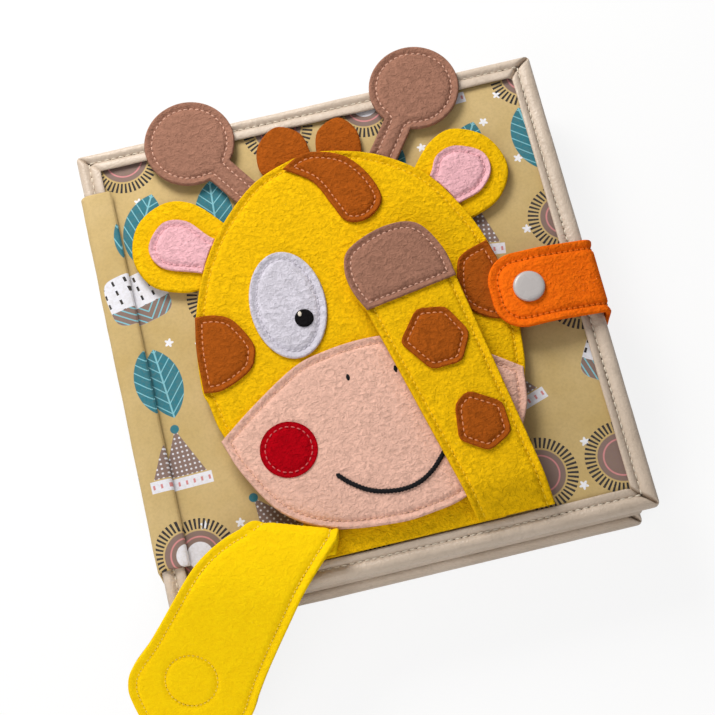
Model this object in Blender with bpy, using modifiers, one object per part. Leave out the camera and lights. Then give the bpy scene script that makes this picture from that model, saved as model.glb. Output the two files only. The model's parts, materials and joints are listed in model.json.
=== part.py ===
"""Fabric quiet book with a felt giraffe on the front cover, held shut by a snap strap.

The frame's origin is the middle of the back cover's underside. X runs from the spine to the
fore edge, Y runs from the giraffe's chin to its horns, and Z runs up through the closed book.
"""
import math

import bmesh
import bpy
from mathutils import Matrix, Vector

# Book
COVER_WIDTH = 0.200
COVER_HEIGHT = 0.205
PAGE_INSET = 0.004
LEAF_THICKNESS = 0.0085
LEAF_GAP = 0.0006
EDGE_ROUNDING = 0.0022
BINDING_WIDTH = 0.0095
PANEL_THICKNESS = 0.0010
PANEL_DROP = 0.0002
FIT_GAP = 0.0003
OVERRUN = 0.002

# Spine strip
STRIP_THICKNESS = 0.0012
STRIP_LAP = 0.0118
STRIP_LENGTH = 0.166
STRIP_CORNER_RADIUS = 0.0014

# Felt
FELT = 0.0012
BACKING_FELT = 0.0022
EAR_FELT = 0.0020
THIN_FELT = 0.0009
MUZZLE_FELT = 0.0020
TUCK = 0.0098
SMILE_RADIUS = 0.0008

# Legs
LEG_CLEARANCE = 0.0004
LEG_BACK_FELT = 0.0016
LEG_FRONT_FELT = 0.0012
SEAM_INSET = 0.0093
RAMP_LENGTH = 0.0155
MAGNET_RADIUS = 0.0050
MAGNET_THICKNESS = 0.0008
FOLD_RADIUS = 0.0030
FOLD_LEVEL_SHARE = 0.03
FOLD_BEND_SHARE = 0.13
FOLD_BEND = math.radians(30)
FOLD_ANGLE = math.radians(-19.3)

# Strap and snap
STRAP_THICKNESS = 0.0020
STRAP_WIDTH = 0.0325
STRAP_MIDDLE_Y = -0.0038
STRAP_TIP_BEYOND_SNAP = 0.0159
STRAP_TIP_ROUND = 0.0125
STRAP_STANDOFF = 0.0006
STRAP_BEND_RADIUS = 0.0035
STRAP_LEVELLING_RADIUS = 0.015
STRAP_FOOT_HEIGHT = 0.0042
STRAP_CORNER_DROP = 0.0005
STRAP_HINGE_HEIGHT = 0.0050
SNAP_HEAD_GAP = 0.001
SNAP_RADIUS = 0.0060
SNAP_STUD_HEIGHT = 0.0016
SNAP_STUD_POST_RADIUS = 0.0024
SNAP_STUD_POST_HEIGHT = 0.0012
SNAP_SOCKET_HEIGHT = 0.0024
SNAP_CAP_RADIUS = 0.0066
SNAP_CAP_HEIGHT = 0.0020

HINGE_MARK_SIZE = 0.010
CURVE_STEPS = 3
ROUND_SIDES = 28
SMALL_ROUND_SIDES = 16
WELD = 0.000001

# Levels from the table up
STACK_TOP = 4 * LEAF_THICKNESS + 3 * LEAF_GAP
PANEL_TOP = STACK_TOP - PANEL_DROP
BACKING_LEVEL = STACK_TOP + FIT_GAP
HEAD_LEVEL = BACKING_LEVEL + BACKING_FELT + FIT_GAP
FACE_LEVEL = HEAD_LEVEL + FELT + FIT_GAP
PUPIL_LEVEL = FACE_LEVEL + FELT + FIT_GAP
BLUSH_LEVEL = FACE_LEVEL + MUZZLE_FELT + FIT_GAP
LEG_THICKNESS = LEG_BACK_FELT + FIT_GAP + LEG_FRONT_FELT
LEG_LEVEL = BLUSH_LEVEL + THIN_FELT + LEG_CLEARANCE
LEG_FRONT_LEVEL = LEG_LEVEL + LEG_BACK_FELT + FIT_GAP
HOOF_LEVEL = LEG_FRONT_LEVEL + LEG_FRONT_FELT + FIT_GAP
BOOK_TOP = HOOF_LEVEL + FELT
HINGE_Z = (BOOK_TOP + FIT_GAP) / 2
LEFT_EDGE = -COVER_WIDTH / 2
SEAM_Y = SEAM_INSET - COVER_HEIGHT / 2
FOLD_LEVEL_RUN = FOLD_LEVEL_SHARE * COVER_WIDTH
FOLD_BEND_RUN = FOLD_BEND_SHARE * COVER_WIDTH
STRIP_INNER_X = LEFT_EDGE - FIT_GAP
HINGE_X = STRIP_INNER_X - STRIP_THICKNESS - FIT_GAP

# Outlines and places seen from above, as shares of the cover's width and height
HEAD_SHARES = ((-0.342, -0.064), (-0.332, 0.042), (-0.309, 0.125), (-0.275, 0.200), (-0.225, 0.270),
               (-0.150, 0.338), (-0.076, 0.370), (-0.001, 0.381), (0.098, 0.357), (0.168, 0.319),
               (0.223, 0.270), (0.267, 0.197), (0.297, 0.125), (0.315, 0.042), (0.322, -0.030),
               (0.317, -0.113), (0.302, -0.191), (0.247, -0.298), (-0.011, -0.375), (-0.260, -0.298),
               (-0.319, -0.172), (-0.334, -0.103))
MUZZLE_SHARES = ((-0.326, -0.184), (-0.250, -0.129), (-0.150, -0.068), (-0.076, -0.049),
                 (-0.002, -0.043), (0.058, -0.048), (0.132, -0.068), (0.226, -0.121),
                 (0.303, -0.175), (0.286, -0.261), (0.226, -0.343), (0.127, -0.402),
                 (0.048, -0.419), (-0.027, -0.422), (-0.150, -0.404), (-0.240, -0.351),
                 (-0.299, -0.257))
MUZZLE_CORNERS = (0, 8)
FORELOCK_SHARES = ((-0.076, 0.357), (-0.041, 0.376), (-0.002, 0.379), (0.058, 0.354),
                   (0.098, 0.300), (0.110, 0.243), (0.073, 0.209), (0.028, 0.214),
                   (0.006, 0.258), (-0.021, 0.315))
FORELOCK_CORNERS = (0,)
CHEEK_LEFT_SHARES = ((-0.324, 0.083), (-0.284, 0.078), (-0.250, 0.059), (-0.221, 0.006),
                     (-0.222, -0.023), (-0.240, -0.053), (-0.299, -0.079), (-0.339, -0.077),
                     (-0.336, 0.010))
CHEEK_LEFT_CORNERS = (0, 7)
CHEEK_RIGHT_SHARES = ((0.227, 0.063), (0.247, 0.088), (0.300, 0.105), (0.315, 0.042),
                      (0.320, -0.030), (0.314, -0.073), (0.256, -0.053), (0.217, -0.009))
CHEEK_RIGHT_CORNERS = (2, 5)
EAR_LEFT_SHARES = ((-0.220, 0.273), (-0.275, 0.332), (-0.335, 0.349), (-0.399, 0.315),
                   (-0.424, 0.244), (-0.399, 0.179), (-0.340, 0.149), (-0.290, 0.147),
                   (-0.262, 0.156), (-0.205, 0.252))
EAR_LEFT_CORNERS = (8, 9)
EAR_RIGHT_SHARES = ((0.204, 0.312), (0.249, 0.355), (0.300, 0.368), (0.363, 0.332),
                    (0.388, 0.259), (0.353, 0.196), (0.289, 0.167), (0.265, 0.168),
                    (0.187, 0.281))
EAR_RIGHT_CORNERS = (7, 8)
INNER_EAR_LEFT_SHARES = ((-0.259, 0.251), (-0.299, 0.295), (-0.349, 0.302), (-0.387, 0.256),
                         (-0.369, 0.208), (-0.304, 0.182))
INNER_EAR_LEFT_CORNERS = (0, 5)
INNER_EAR_RIGHT_SHARES = ((0.229, 0.283), (0.248, 0.314), (0.289, 0.326), (0.342, 0.300),
                          (0.350, 0.256), (0.319, 0.218), (0.276, 0.203))
INNER_EAR_RIGHT_CORNERS = (0, 6)
MANE_LEFT_SHARES = ((-0.100, 0.338), (-0.124, 0.376), (-0.115, 0.429), (-0.070, 0.462),
                    (-0.022, 0.436), (-0.010, 0.380), (-0.012, 0.341))
MANE_LEFT_CORNERS = (0, 6)
MANE_RIGHT_SHARES = ((0.004, 0.341), (0.002, 0.380), (0.016, 0.432), (0.064, 0.453),
                     (0.096, 0.417), (0.096, 0.366), (0.082, 0.338))
MANE_RIGHT_CORNERS = (0, 6)
NECK_SHARES = ((-0.190, -0.344), (-0.210, -0.400), (-0.214, -0.455), (0.194, -0.455),
               (0.190, -0.400), (0.170, -0.344))
NECK_CORNERS = (0, 2, 3, 5)
EYE_LEFT_SHARE = (-0.132, 0.065)
EYE_RIGHT_SHARE = (0.109, 0.065)
EYE_RADII_SHARE = (0.078, 0.118)
PUPIL_LEFT_SHARE = (-0.106, 0.028)
PUPIL_RIGHT_SHARE = (0.083, 0.028)
PUPIL_RADIUS_SHARE = 0.019
BLUSH_LEFT_SHARE = (-0.198, -0.232)
BLUSH_RIGHT_SHARE = (0.175, -0.232)
BLUSH_RADIUS_SHARE = 0.058
HORN_LEFT_SHARE = (-0.256, 0.468)
HORN_RIGHT_SHARE = (0.239, 0.479)
HORN_LEFT_FOOT_SHARE = (-0.145, 0.306)
HORN_RIGHT_FOOT_SHARE = (0.126, 0.326)
HORN_RADIUS_SHARE = 0.096
HORN_STEM_SHARE = 0.030
SMILE_SHARES = ((-0.118, -0.301), (-0.091, -0.328), (-0.052, -0.352), (-0.002, -0.362),
                (0.038, -0.357), (0.070, -0.340), (0.091, -0.320))
LEG_RIGHT_INNER_SHARES = ((0.140, -0.466), (0.022, 0.004))
LEG_RIGHT_OUTER_SHARES = ((0.295, -0.466), (0.216, 0.035))
LEG_RIGHT_END_SHARES = ((0.002, 0.050), (-0.003, 0.098), (0.017, 0.140), (0.095, 0.170),
                        (0.164, 0.162), (0.204, 0.098))
SPOT_RIGHT_UPPER_SHARES = ((0.070, -0.078), (0.119, -0.016), (0.178, -0.025), (0.213, -0.087),
                           (0.183, -0.144), (0.119, -0.147))
SPOT_RIGHT_LOWER_SHARES = ((0.178, -0.205), (0.240, -0.243), (0.242, -0.307), (0.190, -0.334),
                           (0.136, -0.299), (0.146, -0.226))
MAGNET_RIGHT_SHARE = (0.110, 0.059)

# The folded leg, laid flat: run out from the fold line, then place along it, both as
# shares of the cover's width
FOLD_MIDDLE_SHARE = (-0.2425, -0.400)
LEG_LEFT_FAR_SHARES = ((0.000, -0.104), (0.050, -0.147), (0.102, -0.182), (0.165, -0.214))
LEG_LEFT_NEAR_SHARES = ((0.000, 0.103), (0.100, 0.054), (0.176, 0.025), (0.271, -0.008))
LEG_LEFT_END_SHARES = ((0.247, -0.250), (0.296, -0.278), (0.330, -0.286), (0.366, -0.277),
                       (0.420, -0.240), (0.462, -0.169), (0.470, -0.128), (0.452, -0.086),
                       (0.414, -0.056), (0.364, -0.033))
HOOF_LEFT_FAR_SHARE = (0.214, -0.234)
HOOF_LEFT_NEAR_SHARE = (0.334, -0.026)
LEG_LEFT_SEAM_FAR_SHARE = (-0.073, -0.050)
LEG_LEFT_SEAM_NEAR_SHARE = (-0.022, 0.101)
SPOT_LEFT_UPPER_SHARE = (0.196, -0.094)
SPOT_LEFT_LOWER_SHARE = (0.104, -0.050)
SPOT_LEFT_RADIUS_SHARE = 0.050
MAGNET_LEFT_SHARE = (0.312, -0.160)

COLOURS = {
    "binding": (0.63, 0.52, 0.39),
    "print_cloth": (0.62, 0.45, 0.16),
    "lining": (0.80, 0.76, 0.66),
    "batting": (0.85, 0.85, 0.83),
    "yellow_felt": (0.86, 0.60, 0.01),
    "brown_felt": (0.27, 0.13, 0.07),
    "rust_felt": (0.33, 0.08, 0.012),
    "peach_felt": (0.83, 0.48, 0.30),
    "pink_felt": (0.76, 0.36, 0.38),
    "white_felt": (0.76, 0.75, 0.78),
    "black_felt": (0.012, 0.010, 0.012),
    "red_felt": (0.60, 0.010, 0.012),
    "orange_felt": (0.83, 0.19, 0.010),
    "black_cord": (0.010, 0.010, 0.012),
    "snap_plastic": (0.86, 0.85, 0.83),
    "steel": (0.55, 0.56, 0.58),
}
ROUGHNESS = {"snap_plastic": 0.25, "steel": 0.35, "binding": 0.55}


def clear_scene():
    for item in list(bpy.data.objects):
        bpy.data.objects.remove(item, do_unlink=True)


def new_collection(name):
    collection = bpy.data.collections.new(name)
    bpy.context.scene.collection.children.link(collection)
    return collection


def material(name):
    found = bpy.data.materials.get(name)
    if found:
        return found
    made = bpy.data.materials.new(name)
    made.use_nodes = True
    shader = made.node_tree.nodes["Principled BSDF"]
    shader.inputs["Base Color"].default_value = (*COLOURS[name], 1)
    shader.inputs["Roughness"].default_value = ROUGHNESS.get(name, 0.95)
    shader.inputs["Metallic"].default_value = 1.0 if name == "steel" else 0.0
    return made


def place(item, colour, collection):
    """Give an object its material and keep it in one collection only."""
    for old in list(item.users_collection):
        old.objects.unlink(item)
    collection.objects.link(item)
    if colour:
        item.data.materials.clear()
        item.data.materials.append(material(colour))
    return item


def on_cover(share):
    return Vector((share[0] * COVER_WIDTH, share[1] * COVER_HEIGHT))


def of_width(share):
    return Vector(share) * COVER_WIDTH


def smooth_outline(points, corners=(), steps=CURVE_STEPS):
    """Run a closed cubic through the points, with sharp turns at the corners."""
    count = len(points)
    outline = []
    for index in range(count):
        start = Vector(points[index])
        end = Vector(points[(index + 1) % count])
        before = Vector(points[index - 1])
        after = Vector(points[(index + 2) % count])
        sharp_start = index in corners
        sharp_end = (index + 1) % count in corners
        leave = end - start if sharp_start else (end - before) / 2
        arrive = end - start if sharp_end else (after - start) / 2
        pieces = 1 if sharp_start and sharp_end else steps
        for step in range(pieces):
            t = step / pieces
            outline.append(start * (2 * t**3 - 3 * t**2 + 1) + leave * (t**3 - 2 * t**2 + t)
                           + end * (3 * t**2 - 2 * t**3) + arrive * (t**3 - t**2))
    return outline


def cover_outline(shares, corners=()):
    return smooth_outline([on_cover(share) for share in shares], corners)


def ellipse(centre, radii, sides=ROUND_SIDES):
    turns = [math.tau * index / sides for index in range(sides)]
    return [Vector((centre[0] + radii[0] * math.cos(turn), centre[1] + radii[1] * math.sin(turn)))
            for turn in turns]


def inset(outline, distance):
    """Move a counter-clockwise or clockwise outline inwards by a distance."""
    area = sum(a.x * b.y - b.x * a.y for a, b in zip(outline, outline[1:] + outline[:1]))
    side = 1 if area > 0 else -1
    moved = []
    for index, point in enumerate(outline):
        along = (outline[(index + 1) % len(outline)] - outline[index - 1]).normalized()
        moved.append(point + Vector((-along.y, along.x)) * side * distance)
    return moved


def sheet(name, outline, low, thickness, colour, collection):
    """A flat piece cut along an outline, lying on the level called low."""
    curve = bpy.data.curves.new(name, "CURVE")
    curve.dimensions = "2D"
    curve.fill_mode = "BOTH"
    curve.extrude = thickness / 2
    spline = curve.splines.new("POLY")
    spline.points.add(len(outline) - 1)
    for knot, point in zip(spline.points, outline):
        knot.co = (point[0], point[1], 0, 1)
    spline.use_cyclic_u = True
    item = bpy.data.objects.new(name, curve)
    item.location = (0, 0, low + thickness / 2)
    return place(item, colour, collection)


def as_mesh(item):
    """Swap a curve object for the welded mesh that it makes."""
    bpy.context.view_layer.update()
    graph = bpy.context.evaluated_depsgraph_get()
    mesh = bpy.data.meshes.new_from_object(item.evaluated_get(graph))
    weld = bmesh.new()
    weld.from_mesh(mesh)
    bmesh.ops.remove_doubles(weld, verts=weld.verts, dist=WELD)
    weld.to_mesh(mesh)
    weld.free()
    name = item.name
    collection = item.users_collection[0]
    matrix = item.matrix_world.copy()
    bpy.data.objects.remove(item, do_unlink=True)
    swapped = bpy.data.objects.new(name, mesh)
    collection.objects.link(swapped)
    swapped.matrix_world = matrix
    return swapped


def bend(item, stations, carry):
    """Cut a flat sheet across at each station, then carry every point to its bent place."""
    item = as_mesh(item)
    mesh = bmesh.new()
    mesh.from_mesh(item.data)
    mesh.transform(item.matrix_world)
    for station in stations:
        everything = mesh.verts[:] + mesh.edges[:] + mesh.faces[:]
        bmesh.ops.bisect_plane(mesh, geom=everything, dist=WELD, plane_co=(station, 0, 0),
                               plane_no=(1, 0, 0))
    for vertex in mesh.verts:
        vertex.co = carry(*vertex.co)
    if mesh.calc_volume(signed=True) < 0:
        bmesh.ops.reverse_faces(mesh, faces=mesh.faces)
    mesh.to_mesh(item.data)
    mesh.free()
    item.matrix_world = Matrix.Identity(4)
    return item


def box(name, low, high, colour, collection):
    bpy.ops.mesh.primitive_cube_add(size=1)
    item = bpy.context.object
    item.name = name
    item.location = [(a + b) / 2 for a, b in zip(low, high)]
    item.data.transform(Matrix.Diagonal([*(b - a for a, b in zip(low, high)), 1]))
    return place(item, colour, collection)


def disc(name, centre, low, radius, height, sides, colour, collection):
    bpy.ops.mesh.primitive_cylinder_add(vertices=sides, radius=radius, depth=height)
    item = bpy.context.object
    item.name = name
    item.location = (centre[0], centre[1], low + height / 2)
    item.data.shade_smooth()
    item.data.set_sharp_from_angle(angle=math.radians(40))
    return place(item, colour, collection)


def cut(item, cutter, operation="DIFFERENCE"):
    cutter.display_type = "WIRE"
    cutter.hide_render = True
    boolean = item.modifiers.new("cut_" + cutter.name, "BOOLEAN")
    boolean.operation = operation
    boolean.solver = "EXACT"
    boolean.object = cutter


def round_edges(item, width, segments=2):
    bevel = item.modifiers.new("rounded_edges", "BEVEL")
    bevel.width = width
    bevel.segments = segments
    bevel.limit_method = "ANGLE"


def leaf_levels(index):
    """Lowest and highest level of a leaf, counted up from the back cover."""
    low = index * (LEAF_THICKNESS + LEAF_GAP)
    return low, low + LEAF_THICKNESS


def make_leaf(name, index, right_edge, front_cloth, parts, cutters):
    """One padded leaf: a bound frame, a cloth panel on each face and batting between them."""
    low, high = leaf_levels(index)
    top = COVER_HEIGHT / 2
    binding = box(name + "_binding", (LEFT_EDGE, -top, low), (right_edge, top, high), "binding", parts)
    round_edges(binding, EDGE_ROUNDING)
    left = LEFT_EDGE + BINDING_WIDTH
    right = right_edge - BINDING_WIDTH
    reach = top - BINDING_WIDTH
    hole = box(name + "_window", (left, -reach, low - OVERRUN), (right, reach, high + OVERRUN), None, cutters)
    cut(binding, hole)
    inner_low = (left + FIT_GAP, -reach + FIT_GAP)
    inner_high = (right - FIT_GAP, reach - FIT_GAP)
    panel_top = high - PANEL_DROP
    panel_base = low if index == 0 else low + PANEL_DROP
    box(name + "_front_panel", (*inner_low, panel_top - PANEL_THICKNESS), (*inner_high, panel_top),
        front_cloth, parts)
    lining = box(name + "_back_panel", (*inner_low, panel_base),
                 (*inner_high, panel_base + PANEL_THICKNESS), "lining", parts)
    box(name + "_batting", (*inner_low, panel_base + PANEL_THICKNESS + FIT_GAP),
        (*inner_high, panel_top - PANEL_THICKNESS - FIT_GAP), "batting", parts)
    if index == 0:
        lap = LEFT_EDGE + STRIP_LAP + FIT_GAP
        span = STRIP_LENGTH / 2 + FIT_GAP
        rebate = box("strip_rebate", (LEFT_EDGE - OVERRUN, -span, -OVERRUN),
                     (lap, span, STRIP_THICKNESS + FIT_GAP), None, cutters)
        cut(binding, rebate)
        cut(lining, rebate)


def strip_profile(wall_end, corner_level, lap_side):
    """Side view of an L of cloth: a wall up the spine, a round turn and a lap on the cover."""
    outer = STRIP_INNER_X - STRIP_THICKNESS
    radius = STRIP_CORNER_RADIUS
    face = corner_level + lap_side * STRIP_THICKNESS
    turn = [(outer + radius * (1 - math.cos(angle)), face - lap_side * radius * (1 - math.sin(angle)))
            for angle in (math.radians(step) for step in (0, 30, 60, 90))]
    lap_end = LEFT_EDGE + STRIP_LAP
    return [Vector(point) for point in ((STRIP_INNER_X, wall_end), (outer, wall_end), *turn,
                                        (lap_end, face), (lap_end, corner_level),
                                        (STRIP_INNER_X, corner_level))]


def make_spine_strip(name, wall_end, corner_level, lap_side, parts):
    profile = strip_profile(wall_end, corner_level, lap_side)
    item = sheet(name, profile, -STRIP_LENGTH / 2, STRIP_LENGTH, "print_cloth", parts)
    item.rotation_euler = (math.pi / 2, 0, 0)
    item.location = (0, 0, 0)
    return item


def horn_outline(centre, foot):
    """A round knob on a straight stem, drawn in one line."""
    centre = on_cover(centre)
    foot = on_cover(foot)
    radius = HORN_RADIUS_SHARE * COVER_WIDTH
    half_stem = HORN_STEM_SHARE * COVER_WIDTH
    along = (foot - centre).normalized()
    heading = math.atan2(along.y, along.x)
    opening = math.asin(half_stem / radius)
    sweep = math.tau - 2 * opening
    outline = []
    for step in range(ROUND_SIDES + 1):
        angle = heading + opening + sweep * step / ROUND_SIDES
        outline.append(centre + radius * Vector((math.cos(angle), math.sin(angle))))
    across = Vector((-along.y, along.x))
    outline.append(foot - across * half_stem)
    outline.append(foot + across * half_stem)
    return outline


def make_face(parts):
    """Every felt piece that is sewn to the front cover and stays there."""
    head = cover_outline(HEAD_SHARES)
    sheet("neck", cover_outline(NECK_SHARES, NECK_CORNERS), BACKING_LEVEL, BACKING_FELT,
          "yellow_felt", parts)
    sheet("head_back_layer", inset(head, TUCK), BACKING_LEVEL, BACKING_FELT, "yellow_felt", parts)
    sheet("head_front_layer", head, HEAD_LEVEL, FELT, "yellow_felt", parts)
    sheet("ear_left", cover_outline(EAR_LEFT_SHARES, EAR_LEFT_CORNERS), BACKING_LEVEL, EAR_FELT,
          "yellow_felt", parts)
    sheet("ear_right", cover_outline(EAR_RIGHT_SHARES, EAR_RIGHT_CORNERS), BACKING_LEVEL, EAR_FELT,
          "yellow_felt", parts)
    inner_level = BACKING_LEVEL + EAR_FELT + FIT_GAP
    sheet("inner_ear_left", cover_outline(INNER_EAR_LEFT_SHARES, INNER_EAR_LEFT_CORNERS),
          inner_level, FELT, "pink_felt", parts)
    sheet("inner_ear_right", cover_outline(INNER_EAR_RIGHT_SHARES, INNER_EAR_RIGHT_CORNERS),
          inner_level, FELT, "pink_felt", parts)
    sheet("horn_left", horn_outline(HORN_LEFT_SHARE, HORN_LEFT_FOOT_SHARE), BACKING_LEVEL,
          EAR_FELT, "brown_felt", parts)
    sheet("horn_right", horn_outline(HORN_RIGHT_SHARE, HORN_RIGHT_FOOT_SHARE), BACKING_LEVEL,
          EAR_FELT, "brown_felt", parts)
    sheet("mane_lobe_left", cover_outline(MANE_LEFT_SHARES, MANE_LEFT_CORNERS), BACKING_LEVEL,
          FELT, "rust_felt", parts)
    sheet("mane_lobe_right", cover_outline(MANE_RIGHT_SHARES, MANE_RIGHT_CORNERS), BACKING_LEVEL,
          FELT, "rust_felt", parts)
    sheet("muzzle", cover_outline(MUZZLE_SHARES, MUZZLE_CORNERS), FACE_LEVEL, MUZZLE_FELT,
          "peach_felt", parts)
    sheet("forelock", cover_outline(FORELOCK_SHARES, FORELOCK_CORNERS), FACE_LEVEL, FELT,
          "rust_felt", parts)
    sheet("cheek_patch_left", cover_outline(CHEEK_LEFT_SHARES, CHEEK_LEFT_CORNERS), FACE_LEVEL,
          FELT, "rust_felt", parts)
    sheet("cheek_patch_right", cover_outline(CHEEK_RIGHT_SHARES, CHEEK_RIGHT_CORNERS), FACE_LEVEL,
          FELT, "rust_felt", parts)
    eye_radii = of_width(EYE_RADII_SHARE)
    pupil_radius = PUPIL_RADIUS_SHARE * COVER_WIDTH
    blush_radius = BLUSH_RADIUS_SHARE * COVER_WIDTH
    for side, eye, pupil, blush in (("left", EYE_LEFT_SHARE, PUPIL_LEFT_SHARE, BLUSH_LEFT_SHARE),
                                    ("right", EYE_RIGHT_SHARE, PUPIL_RIGHT_SHARE, BLUSH_RIGHT_SHARE)):
        sheet("eye_" + side, ellipse(on_cover(eye), eye_radii), FACE_LEVEL, FELT, "white_felt", parts)
        disc("pupil_" + side, on_cover(pupil), PUPIL_LEVEL, pupil_radius, THIN_FELT,
             SMALL_ROUND_SIDES, "black_felt", parts)
        disc("blush_" + side, on_cover(blush), BLUSH_LEVEL, blush_radius, THIN_FELT, ROUND_SIDES,
             "red_felt", parts)
    make_smile(parts)


def make_smile(parts):
    curve = bpy.data.curves.new("smile", "CURVE")
    curve.dimensions = "3D"
    curve.bevel_depth = SMILE_RADIUS
    curve.bevel_resolution = 1
    curve.use_fill_caps = True
    spline = curve.splines.new("POLY")
    route = smooth_outline([on_cover(share) for share in SMILE_SHARES])
    route = route[:CURVE_STEPS * (len(SMILE_SHARES) - 1) + 1]
    spline.points.add(len(route) - 1)
    for knot, point in zip(spline.points, route):
        knot.co = (point.x, point.y, BLUSH_LEVEL + SMILE_RADIUS, 1)
    place(bpy.data.objects.new("smile", curve), "black_cord", parts)


def edge_at(edge_shares, y):
    """The point of a straight leg edge that lies at a given y."""
    start, end = (on_cover(share) for share in edge_shares)
    t = (y - start.y) / (end.y - start.y)
    return start.lerp(end, t)


def ramp(y):
    """How far the standing leg has risen from its seam to its level over the muzzle."""
    t = min(max((y - SEAM_Y) / RAMP_LENGTH, 0), 1)
    return t * t * (3 - 2 * t)


def make_leg_right(parts, cutters):
    """The leg that is folded up over the right eye."""
    ramp_end = SEAM_Y + RAMP_LENGTH
    start = HEAD_LEVEL

    def carry(y, x, height):
        return Vector((x, y, start + (LEG_LEVEL - start) * ramp(y) + height))

    corners = [edge_at(LEG_RIGHT_INNER_SHARES, SEAM_Y), edge_at(LEG_RIGHT_OUTER_SHARES, SEAM_Y),
               edge_at(LEG_RIGHT_OUTER_SHARES, ramp_end), edge_at(LEG_RIGHT_INNER_SHARES, ramp_end)]
    turned = [Vector((point.y, point.x)) for point in corners]
    base = sheet("leg_right_base", turned, 0, LEG_THICKNESS, "yellow_felt", parts)
    stations = [SEAM_Y + RAMP_LENGTH * step / 8 for step in range(1, 8)]
    bend(base, stations, carry)
    main_start = ramp_end + FIT_GAP
    inner = edge_at(LEG_RIGHT_INNER_SHARES, main_start)
    outer = edge_at(LEG_RIGHT_OUTER_SHARES, main_start)
    hoof_inner = on_cover(LEG_RIGHT_INNER_SHARES[1])
    hoof_outer = on_cover(LEG_RIGHT_OUTER_SHARES[1])
    end = [on_cover(share) for share in LEG_RIGHT_END_SHARES]
    whole = smooth_outline([inner, hoof_inner, *end, hoof_outer, outer], (0, 1, 8, 9))
    tip = smooth_outline([hoof_inner, *end, hoof_outer], (0, 7))
    back = sheet("leg_right_back_layer", whole, LEG_LEVEL, LEG_BACK_FELT, "yellow_felt", parts)
    back = as_mesh(back)
    place(back, "yellow_felt", parts)
    magnet_centre = on_cover(MAGNET_RIGHT_SHARE)
    magnet_low = LEG_FRONT_LEVEL - FIT_GAP - MAGNET_THICKNESS
    pocket = disc("leg_right_pocket", magnet_centre, magnet_low - FIT_GAP, MAGNET_RADIUS + FIT_GAP,
                  OVERRUN, SMALL_ROUND_SIDES, None, cutters)
    cut(back, pocket)
    disc("leg_right_magnet", magnet_centre, magnet_low, MAGNET_RADIUS, MAGNET_THICKNESS,
         SMALL_ROUND_SIDES, "steel", parts)
    sheet("leg_right_front_layer", whole, LEG_FRONT_LEVEL, LEG_FRONT_FELT, "yellow_felt", parts)
    sheet("leg_right_hoof", tip, HOOF_LEVEL, FELT, "brown_felt", parts)
    for name, shares in (("leg_right_upper_spot", SPOT_RIGHT_UPPER_SHARES),
                         ("leg_right_lower_spot", SPOT_RIGHT_LOWER_SHARES)):
        sheet(name, [on_cover(share) for share in shares], HOOF_LEVEL, FELT, "rust_felt", parts)


def fold_directions():
    """Unit vectors out from the fold line and along it."""
    along = Vector((math.cos(FOLD_ANGLE), math.sin(FOLD_ANGLE), 0))
    outward = Vector((along.y, -along.x, 0))
    return outward, along


def fold_base_level():
    return HEAD_LEVEL + LEG_THICKNESS / 2


def fold_top_level():
    return fold_base_level() + 2 * FOLD_RADIUS


def fold_path(run):
    """Distance out, level and heading of the folded leg's middle at a run from the fold."""
    loop = math.pi * FOLD_RADIUS
    if run < -loop:
        return -(run + loop), fold_base_level(), math.pi
    if run < 0:
        heading = -run / FOLD_RADIUS
        middle = fold_base_level() + FOLD_RADIUS
        return -FOLD_RADIUS * math.sin(heading), middle + FOLD_RADIUS * math.cos(heading), heading
    bend_radius = FOLD_BEND_RUN / FOLD_BEND
    if run < FOLD_LEVEL_RUN:
        return run, fold_top_level(), 0
    turned = min((run - FOLD_LEVEL_RUN) / bend_radius, FOLD_BEND)
    straight = max(run - FOLD_LEVEL_RUN - FOLD_BEND_RUN, 0)
    out = FOLD_LEVEL_RUN + bend_radius * math.sin(turned) + straight * math.cos(turned)
    level = fold_top_level() - bend_radius * (1 - math.cos(turned)) - straight * math.sin(turned)
    return out, level, -turned


def fold_carry(run, place_along, height):
    """Bent place of a point of the folded leg; height is measured towards its back."""
    out, level, heading = fold_path(run)
    outward, along = fold_directions()
    middle = on_cover(FOLD_MIDDLE_SHARE).to_3d()
    out -= height * math.sin(heading)
    return middle + outward * out + along * place_along + Vector((0, 0, level + height * math.cos(heading)))


def edge_point(outline_shares, run):
    """Where a leg edge given by a few points crosses a run."""
    points = [of_width(share) for share in outline_shares]
    for start, end in zip(points, points[1:]):
        if run <= end.x:
            return start.lerp(end, (run - start.x) / (end.x - start.x))
    return points[-1]


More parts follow.
